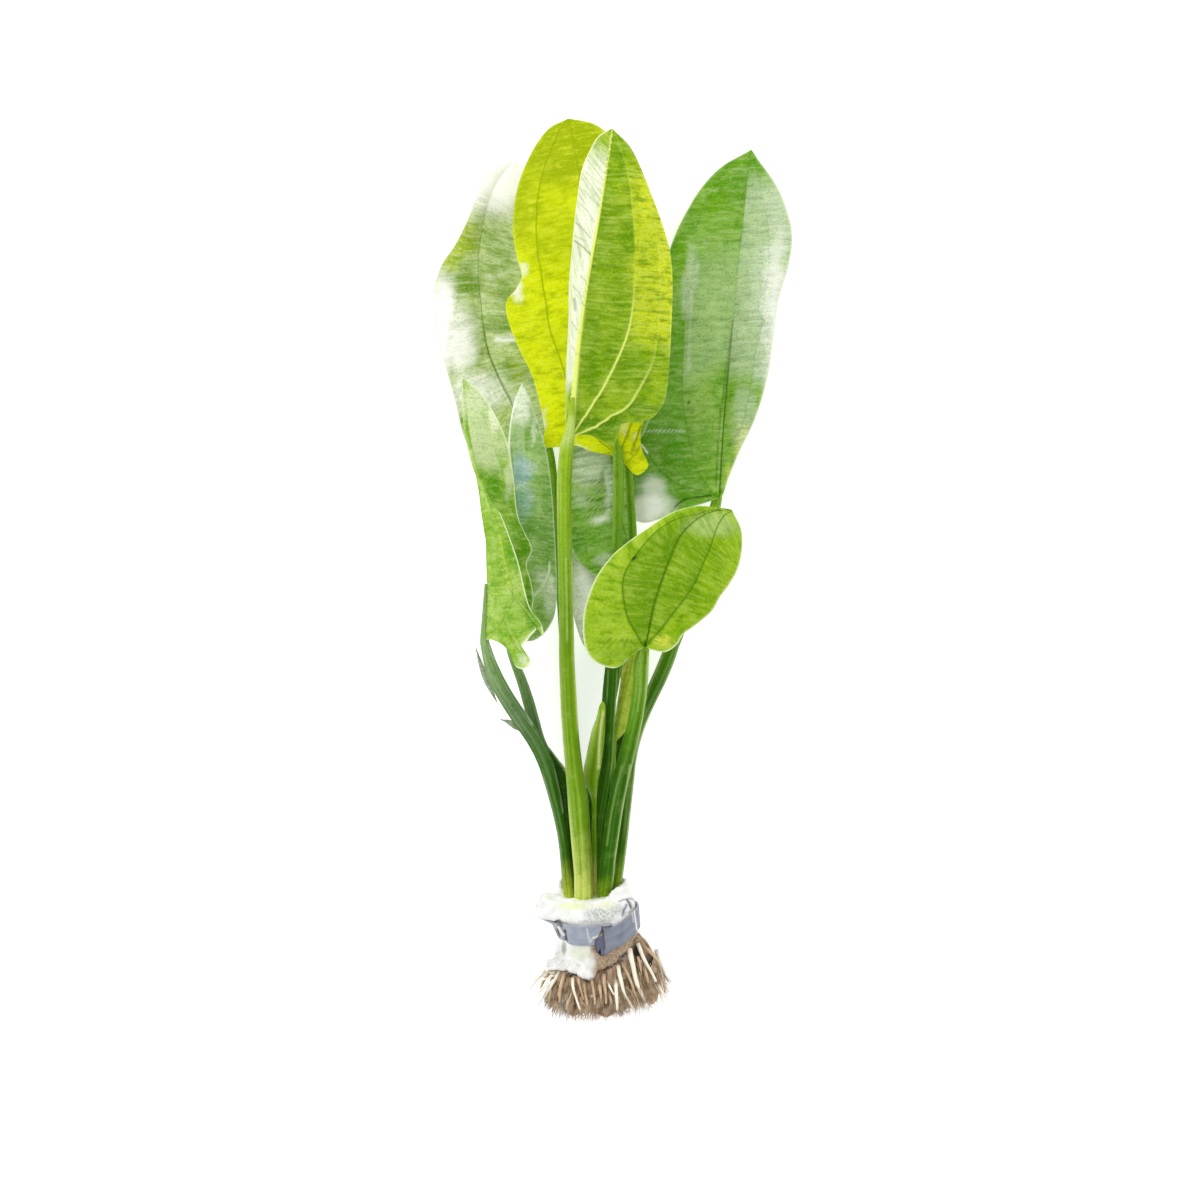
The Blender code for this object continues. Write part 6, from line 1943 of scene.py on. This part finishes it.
def swayed(places, seed, amount):
    # a settled root's path through the places, with a slight sway of its own
    path = evenPath(settle(np.array(places), roots["radius"] + 0.1), roots["bends"])
    sway = np.stack([lumps(path + seed * 31, 6.0, seed + axis) for axis in range(3)], axis=1)
    return path + sway * amount


def rootPath(firstAngle, tipAngle, tipAlong, tipRadius, wiggle, seed):
    firstAlong = min(float(foamBottom(math.radians(firstAngle + turn))) for turn in (-14, 0, 14)) - 3
    reach = tipAlong - firstAlong
    marks = [(0.0, firstAlong, 14.5), (0.1, firstAlong + reach * 0.15, 18.5),
             (0.5, firstAlong + reach * 0.5, 19 + (tipRadius - 19) * 0.65),
             (0.8, firstAlong + reach * 0.8, tipRadius - 0.8), (1.0, tipAlong, tipRadius)]
    places = []
    for part, along, radius in marks:
        angle = np.radians(firstAngle + (tipAngle - firstAngle) * part)
        if part > 0.2:
            radius = max(radius, ballRadius(angle, along) + 0.2)
        places.append(collar(angle, along, radius))
    part = np.linspace(0, 1, roots["bends"] + 1)[:, None]
    return swayed(places, seed, wiggle * part)


def onBall(x, y, lift):
    # the place over the root ball's front that shows at a place of the picture
    axis, across, up = crownFrame()
    height, rise = 40.0, 15.0
    for _ in range(12):
        offset = np.array(unseen((x, y, height))) - crown["centre"]
        along, aside = offset @ axis, offset @ across
        radius = ballRadius(math.atan2(rise, aside), along) + lift
        rise = math.sqrt(max(radius ** 2 - aside ** 2, 0.0))
        height = float((crown["centre"] + axis * along + across * aside + up * rise)[2])
    return unseen((x, y, height))


def overGap(points):
    # how far places lie over one of the picture's dark gaps
    spots = seen(points)
    near = np.zeros(spots.shape[:-1])
    for _, x, y, wide, high, amount in roots["patches"]:
        near = np.maximum(near, amount * nearPatch(spots, x, y, wide, high))
    return near * (points[..., 2] > 16)


def drawnPath(line, seed):
    lifts = np.linspace(0, 1, len(line))
    places = [onBall(x, y, -1.5 + 3.2 * min(lift * 3.0, 1)) for (x, y), lift in zip(line, lifts)]
    return swayed(places, seed, 0.25)


def rootMaterial(name, pale, middle, dark):
    make = Recipe(name)
    place = make.place()
    along = make.mark("along")
    mottle = make.remap(make.noise(place, 240.0, 4.0), 0.35, 0.7)
    base = make.mix(mottle, paint(*middle), paint(*pale))
    base = make.mix(make.remap(along, 0.0, 0.14, 0.7, 0.0), base, paint(*dark))
    return make.finish(base, 0.5, make.bump(make.noise(place, 900.0, 3.0), 0.0002, 0.5),
                       Specular_IOR_Level=0.4)


def matMaterial():
    make = Recipe("rootMat")
    place = make.place()
    surface = make.surface()
    threads = make.noise(make.stretch(surface, (1.0, 0.12, 1.0)), 420.0, 5.0, 0.7)
    clump = make.remap(make.noise(place, 150.0, 3.0), 0.35, 0.68)
    tones = roots["mat"]
    brown = make.mix(clump, paint(*tones["brown"][0]), paint(*tones["brown"][1]))
    base = make.mix(make.remap(threads, 0.5, 0.64), brown, paint(*tones["thread"]))
    # painted shade in the hollows between the threads, where the bump is low
    base = make.mix(make.remap(threads, 0.45, 0.34, 0.0, 0.8), base, paint(*tones["hollow_shade"]))
    tan = make.mix(make.remap(threads, 0.4, 0.6), paint(*tones["tan"][0]), paint(*tones["tan"][1]))
    base = make.mix(make.mark("tan"), base, tan)
    # painted shadow in the gaps between roots
    base = make.mix(make.mark("gap"), base, paint(*tones["gap"]))
    return make.finish(base, 0.85, make.bump(threads, 0.0012, 0.9), Specular_IOR_Level=0.25)


def matProfile(angle):
    # from the middle under the foam, down the side of the root ball and in over its open end
    top = float(foamBottom(angle)) - 0.9
    ragged = 1.4 * math.sin(angle * 7 + 1) + 1.0 * math.sin(angle * 11)
    radius = roots["matRadius"]
    swell = 5.0 * float(1 - ease(turned(angle, 0), 10, 62))
    middle = top + (-36 - top) * 0.4
    return [(-15.2, 0), (-15.2, 8), (-15.4, 12.8), (-16.4, 14.4), (top - 0.3, 14.9), (top - 0.4, 17.4),
            (top - 1.2, radius + 0.12 * swell), (middle, radius + 0.6 + 0.85 * swell), (-36, 20.6 + swell),
            (-40, 22.5 + 0.9 * swell), (-44 + ragged, 24.4 + 0.6 * swell),
            (-45.5 + ragged, 24.3 + 0.5 * swell),
            (-45, 21), (-43.5, 14), (-43, 7), (-43, 0)]


def makeMat():
    spread, along, radius = roundSections(matProfile, roots["around"], roots["steps"])
    threads = lumps(np.stack([spread * 26, along * 0.12, radius * 0.1], -1), 1.0, 12)
    threads = threads + 0.6 * lumps(np.stack([spread * 55, along * 0.2, radius * 0.2], -1), 1.0, 13)
    low = ease(-along, 17.5, 24) * ease(radius, 12, 17)
    points = collar(spread, along, radius + low * (0.55 * threads - 0.5))
    points = settle(points, 0.3)
    tan = ease(radius, 16, 17.5) * (1 - ease(-along, 25, 28)) * (1 - ease(turned(spread, 66), 30, 50))
    marks = {"tan": tan, "gap": overGap(points) * (np.sin(spread) > 0)}
    surface = np.stack([spread * 0.02, along * 0.001 - radius * 0.001], -1)
    dress(roundPiece("root_mat", points, marks, surface, matMaterial()), "root", "root_ball")


def makeMainRoots(tree):
    rng = np.random.default_rng(roots["seed"])
    skins = [rootMaterial(name, *colours) for name, colours in roots["skins"].items()]
    planned = []                                        # skin, thickness, path
    for root in roots["mains"]:
        first, tip, along, radius = root
        planned.append((0, 1.0, rootPath(*root, 0.7, len(planned) + 1)))
        beside = (first + 7, tip + rng.uniform(4, 11), along + rng.uniform(0, 5), radius - rng.uniform(1, 4))
        planned.append((int(rng.integers(0, 2)), 0.6, rootPath(*beside, 1.1, len(planned) + 1)))
    for skin, wide, line in roots["drawn"]:
        planned.append((skin, wide * 0.28 / roots["radius"], drawnPath(line, len(planned) + 1)))
    for _ in range(roots["tanRoots"]):
        first = rng.uniform(0, 360)
        root = (first, first + rng.normal(0, 6), rng.uniform(-46, -38), rng.uniform(22, 26))
        thick, path = rng.uniform(0.35, 0.75), rootPath(*root, 1.6, len(planned) + 1)
        if overGap(path).max() < 0.45:
            planned.append((1, thick, path))
    shape = bmesh.new()
    for number, (skin, thick, path) in enumerate(planned):
        part = np.linspace(0, 1, len(path))
        radii = roots["radius"] * thick * (1 - 0.45 * part) * (1 + 0.12 * lumps(path, 2.0, number))
        radii[-1] *= 0.4
        guide = makeCurve(f"root_guide_{number}", path, radii)
        values = {"Sides": 8, "Ribs": 2.0, "Rib depth": 0.05, "Unevenness": 0.25 * metre,
                  "Seed": float(number),
                  "Finish": skins[skin]}
        mesh = grownMesh(guide, tree, values, "root_part")
        for polygon in mesh.polygons:
            polygon.material_index = skin
        shape.from_mesh(mesh)
        bpy.data.meshes.remove(mesh)
    joined = bpy.data.meshes.new("main_roots")
    shape.to_mesh(joined)
    shape.free()
    for skin in skins:
        joined.materials.append(skin)
    for spare in ("middle", "forward", "girth", "side", "rise"):
        joined.attributes.remove(joined.attributes[spare])
    sealMesh(joined, 0.15)
    piece = addObject("main_roots", joined)
    dress(piece, "root", "root_ball")
    print("main roots", len(joined.polygons))


def fibreTree():
    # puts a tapered fibre on each point, along the point's own direction, and lets it wander
    grow = Growth("fine fibres", [("Sides", "Int", 3), ("Steps", "Int", 7), ("Wander", "Float", 0.004),
                                  ("Wander scale", "Float", 90.0), ("Seed", "Float", 1.0),
                                  ("Finish", "Material", None)])
    line = grow.node("CurvePrimitiveLine", {"Start": (0, 0, 0), "End": (0, 0, 1)})
    line = grow.node("ResampleCurve", {"Curve": line, "Count": grow.take("Steps")})
    line = grow.store(line, "along", grow.node("SplineParameter", {}))
    circle = grow.node("CurvePrimitiveCircle", {"Resolution": grow.take("Sides"), "Radius": 1.0})
    taper = grow.math(1.0, grow.math(grow.node("SplineParameter", {}), 0.75, "MULTIPLY"), "SUBTRACT")
    fibre = grow.node("CurveToMesh", {"Curve": line, "Profile Curve": circle, "Scale": taper,
                                      "Fill Caps": True})
    direction = grow.node("InputNamedAttribute", {"Name": "direction"}, data_type="FLOAT_VECTOR")
    girth = grow.node("InputNamedAttribute", {"Name": "girth"}, data_type="FLOAT")
    reach = grow.node("InputNamedAttribute", {"Name": "reach"}, data_type="FLOAT")
    size = grow.node("CombineXYZ", {0: girth, 1: girth, 2: reach}, prefix="ShaderNode")
    turn = grow.node("AlignRotationToVector", {"Vector": direction}, prefix="FunctionNode", axis="Z")
    fibres = grow.node("InstanceOnPoints", {"Points": grow.take("Geometry"), "Instance": fibre,
                                            "Rotation": turn, "Scale": size})
    fibres = grow.node("RealizeInstances", {"Geometry": fibres})
    along = grow.node("InputNamedAttribute", {"Name": "along"}, data_type="FLOAT")
    shift = grow.wander(grow.take("Wander scale"), grow.take("Wander"), grow.take("Seed"))
    fibres = grow.node("SetPosition", {"Geometry": fibres, "Offset": grow.scale(shift, along)})
    fibres = grow.node("SetShadeSmooth", {"Geometry": fibres})
    return grow.finish(fibres)


def makeFibres(name, tree, starts, ends, girths, values, material, slot, node, lowest=0.15):
    # a point for each fibre, with its direction, reach and girth, grown into one mesh
    starts = (np.asarray(starts) + crownPlace) * metre
    ends = (np.asarray(ends) + crownPlace) * metre
    mesh = bpy.data.meshes.new(name + "_points")
    mesh.from_pydata(starts.tolist(), [], [])
    span = ends - starts
    reach = np.linalg.norm(span, axis=1)
    for label, kind, data in (("direction", "FLOAT_VECTOR", span / reach[:, None]),
                              ("reach", "FLOAT", reach),
                              ("girth", "FLOAT", np.asarray(girths) * metre)):
        attribute = mesh.attributes.new(label, kind, "POINT")
        attribute.data.foreach_set("vector" if kind == "FLOAT_VECTOR" else "value",
                                   np.asarray(data, np.float32).ravel())
    guide = addObject(name + "_points", mesh)
    grown = grownMesh(guide, tree, {**values, "Finish": material}, name)
    points = (settle(meshPoints(grown), lowest) + crownPlace) * metre
    points = np.clip(points, np.array(solidBox[0]), np.array(solidBox[1]))
    grown.vertices.foreach_set("co", points.astype(np.float32).ravel())
    grown.shade_smooth()
    piece = addObject(name, grown)
    dress(piece, slot, node)
    print(name, len(grown.polygons))


def fibreSkin(name, first, second):
    make = Recipe(name)
    tone = make.remap(make.noise(make.place(), 300.0, 2.0), 0.38, 0.62)
    return make.finish(make.mix(tone, paint(*first), paint(*second)), 0.7, None, Specular_IOR_Level=0.15)


def makeRootFibres(tree):
    rng = np.random.default_rng(roots["seed"] + 1)
    count = roots["fibres"]
    angle = rng.uniform(0, math.tau, count)
    start = foamBottom(angle) - 1.5 - rng.uniform(0, 1, count) ** 0.7 * 14
    start = np.maximum(start, -40)
    startRadius = ballRadius(angle, start) - 0.4
    tip = start - rng.uniform(8, 17, count)
    tip = np.maximum(tip, -48 + rng.uniform(0, 5, count))
    flare = ease(-tip, 22, 50)
    tipRadius = ballRadius(angle, tip) + flare * rng.uniform(-1, 4, count)
    starts = collar(angle, start, startRadius)
    ends = collar(angle + rng.normal(0, 0.09, count), tip, tipRadius)
    girths = roots["fibreRadius"] * rng.uniform(0.6, 1.9, count)
    kept = overGap((starts + ends) / 2) < 0.3
    starts, ends, girths = starts[kept], ends[kept], girths[kept]
    values = {"Sides": 3, "Steps": 8, "Wander": 0.006, "Wander scale": 150.0, "Seed": 4.0}
    makeFibres("fine_roots", tree, starts, ends, girths, values,
               fibreSkin("fineRoots", (156, 128, 100), (222, 200, 170)), "root", "root_ball")
    # brown tips all over the open end
    count = roots["brownTips"]
    angle = rng.uniform(0, math.tau, count)
    radius = 24 * np.sqrt(rng.uniform(0.01, 1, count))
    starts = collar(angle, np.full(count, -42.0), radius)
    bent = angle + rng.normal(0, 0.12, count)
    ends = collar(bent, -44 - rng.uniform(1, 7, count), radius + rng.normal(0.8, 1.5, count))
    makeFibres("brown_tips", tree, starts, ends, 0.2 * rng.uniform(0.6, 1.7, count), values,
               fibreSkin("brownTips", (132, 104, 78), (206, 180, 148)), "root", "root_ball")
    # pale tips that stand out past the brown ones, in tufts
    tufts = rng.uniform(0, math.tau, roots["tufts"])
    count = roots["paleTips"]
    angle = rng.choice(tufts, count) + rng.normal(0, 0.07, count)
    start = rng.uniform(-44, -38, count)
    starts = collar(angle, start, rng.uniform(21, 24, count))
    left = 1 - ease(turned(angle, 160), 10, 40)
    tip = -47 - rng.uniform(0, 1, count) ** 2 * 6.5
    ends = collar(angle + rng.normal(0, 0.04, count), tip, rng.uniform(22, 27, count) + 4 * left)
    makeFibres("pale_tips", tree, starts, ends, 0.1 * rng.uniform(0.6, 1.6, count), values,
               fibreSkin("paleTips", (196, 200, 192), (232, 234, 228)), "root", "root_ball")


def makeFoamFibres(tree):
    rng = np.random.default_rng(23)
    count = foam["fibres"]
    angle = rng.uniform(0, math.tau, count)
    place = rng.uniform(0, 1, count)
    starts, ends = [], []
    for turn, spot in zip(angle, place):
        profile = foamProfile(turn)
        part = spot * 11
        index = 8 + min(int(part), 10) if rng.uniform() > 0.3 else rng.integers(4, 7)
        here, there = np.array(profile[index]), np.array(profile[index + 1])
        along, radius = here + (there - here) * rng.uniform()
        starts.append(collar(np.array(turn), along, radius - 0.1))
        lean = rng.normal(0, 1, 3) * 0.8
        out = collar(np.array(turn), along, radius + 1.0) - collar(np.array(turn), along, radius)
        ends.append(starts[-1] + (out + lean) * rng.uniform(0.5, 1.6))
    make = Recipe("foamFibres")
    material = make.finish(paint(*foam["tones"]["fibre"]), 0.9, None, Specular_IOR_Level=0.2)
    values = {"Sides": 3, "Steps": 5, "Wander": 0.003, "Wander scale": 400.0, "Seed": 2.0}
    girths = 0.07 * rng.uniform(0.6, 1.4, count)
    makeFibres("foam_fibres", tree, np.array(starts), np.array(ends), girths, values, material, "foam",
               "foam_wrap")


def makeCamera():
    data = bpy.data.cameras.new("photoCamera")
    data.lens = camera["lens"]
    data.sensor_width = camera["sensor"]
    data.clip_start = 0.01
    eye = addObject("photoCamera", data)
    eye.location = (np.array(camera["place"]) + crownPlace) * metre
    bpy.context.scene.camera = eye


def makeStage():
    make = Recipe("paleFloor")
    place = make.place()
    base = make.mix(make.noise(place, 3.0), paint(*light["floor"]), paint(251, 251, 251))
    material = make.finish(base, 0.8, None, Specular_IOR_Level=0.1, Emission_Color=(1.0, 1.0, 1.0, 1.0),
                           Emission_Strength=light["floorGlow"])
    bpy.ops.mesh.primitive_grid_add(x_subdivisions=4, y_subdivisions=4, size=light["floorSize"])
    floor = bpy.context.object
    floor.name = "pale_floor"
    floor.data.materials.append(material)
    world = bpy.data.worlds.new("softSky")
    world.use_nodes = True
    sky = world.node_tree.nodes["Background"]
    sky.inputs["Color"].default_value = paint(*light["sky"])
    sky.inputs["Strength"].default_value = light["world"]
    bpy.context.scene.world = world
    for name, place, target, size, watts in light["lamps"]:
        data = bpy.data.lights.new(name, "AREA")
        data.shape = "SQUARE"
        data.size = size
        data.energy = watts
        lamp = addObject(name, data)
        here = (np.array(place) + crownPlace) * metre
        there = (np.array(target) + crownPlace) * metre
        lamp.location = here
        back = here - there
        lamp.rotation_euler = (math.atan2(math.hypot(back[0], back[1]), back[2]), 0,
                               math.atan2(back[1], back[0]) + math.pi / 2)
    bpy.context.scene.view_settings.view_transform = "Standard"


makeCamera()
makeStage()
print("camera and light are set")
for seed, (name, leaf) in enumerate(leaves.items(), start=1):
    makeLeaf(name, {**plainLeaf, **leaf}, seed)
stalk = stalkTree()
for seed, (name, stem) in enumerate(stems.items(), start=1):
    makeStem(name, {"bands": [], "lines": [], **stem}, stalk, seed)
makeFoam()
makeStrip()
makeMat()
makeMainRoots(stalk)
fibre = fibreTree()
makeRootFibres(fibre)
makeFoamFibres(fibre)

print("solids", [tuple(round(c, 4) for c in corner) for corner in solidBox])
